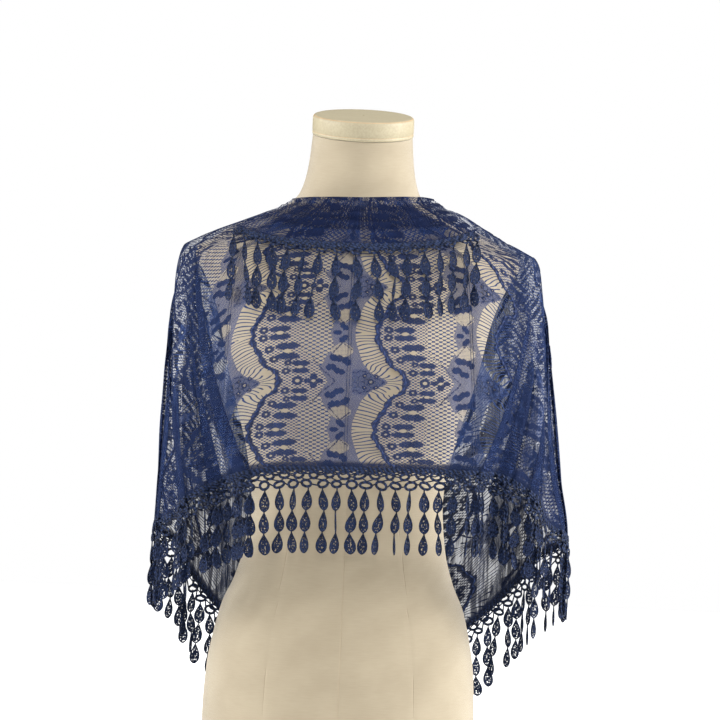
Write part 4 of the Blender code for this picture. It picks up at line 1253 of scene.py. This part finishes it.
def make_floor():
    finish = Finish("floor_paint", roughness=0.9)
    cloudy = finish.noise(finish.node("ShaderNodeTexCoord", out="Object"), 6.0, 2.0)
    finish.set(Base_Color=finish.mix(cloudy, (0.93, 0.93, 0.93, 1), (0.96, 0.96, 0.955, 1)),
               Emission_Color=(1.0, 1.0, 1.0, 1.0), Emission_Strength=0.40)
    mesh = bpy.data.meshes.new("floor")
    corners = [(-1, -1), (1, -1), (1, 1), (-1, 1)]
    mesh.from_pydata([(x * FLOOR_REACH, y * FLOOR_REACH, FLOOR_HEIGHT) for x, y in corners], [],
                     [(0, 1, 2, 3)])
    mesh.materials.append(finish.material)
    floor = bpy.data.objects.new("floor", mesh)
    bpy.context.scene.collection.objects.link(floor)


def make_light():
    for name, spot, size, power in LAMPS:
        lamp = bpy.data.lights.new(name, "AREA")
        lamp.size = size
        lamp.energy = power
        set_up(name, lamp, spot, LAMPS_AIM)
    lamp = bpy.data.lights.new("chest", "SPOT")
    lamp.energy = 205.0
    lamp.spot_size = math.radians(9.5)
    lamp.spot_blend = 1.0
    lamp.shadow_soft_size = 0.15
    set_up("chest", lamp, CHEST_LAMP_AT, CHEST_LAMP_AIM)
    # The backdrop is white to the camera and dim as a light
    world = bpy.data.worlds.new("studio")
    world.use_nodes = True
    backdrop = world.node_tree.nodes["Background"]
    backdrop.inputs["Color"].default_value = (1.0, 1.0, 1.0, 1.0)
    seen = world.node_tree.nodes.new("ShaderNodeLightPath")
    strength = world.node_tree.nodes.new("ShaderNodeMapRange")
    strength.inputs["To Min"].default_value = 0.15
    strength.inputs["To Max"].default_value = 1.0
    world.node_tree.links.new(seen.outputs["Is Camera Ray"], strength.inputs["Value"])
    world.node_tree.links.new(strength.outputs[0], backdrop.inputs["Strength"])
    bpy.context.scene.world = world
    bpy.context.scene.view_settings.view_transform = "Standard"
    bpy.context.scene.cycles.transparent_max_bounces = 28


def camera():
    lens = bpy.data.cameras.new("photo_view")
    lens.sensor_width = 36.0
    lens.lens = 155.5
    aim = Vector(CAMERA_AIM)
    spot = aim + Vector((0.0, -math.cos(CAMERA_RISE), math.sin(CAMERA_RISE))) * CAMERA_AWAY
    holder = set_up("photo_view", lens, spot, aim)
    holder.rotation_euler.rotate_axis("Z", CAMERA_ROLL)
    bpy.context.scene.camera = holder


make_floor()
make_light()
camera()


def cut_of(way, rise):
    """Measure the flat cloth of a stretch: its width, its length and its area, in metres."""
    across = 0.5 * (np.diff(way, axis=1)[1:] + np.diff(way, axis=1)[:-1])
    up = 0.5 * (np.diff(rise, axis=0)[:, 1:] + np.diff(rise, axis=0)[:, :-1])
    area = float(np.abs(across * up).sum()) * CM * CM
    long = float(rise.max() - rise.min()) * CM
    return (math.ceil(area / long * 1000 + 2) / 1000, round(long, 3)), round(area, 5)


for stretch, sheet in sheets.items():
    flat_size, flat_area = cut_of(sheet.way, sheet.rise)
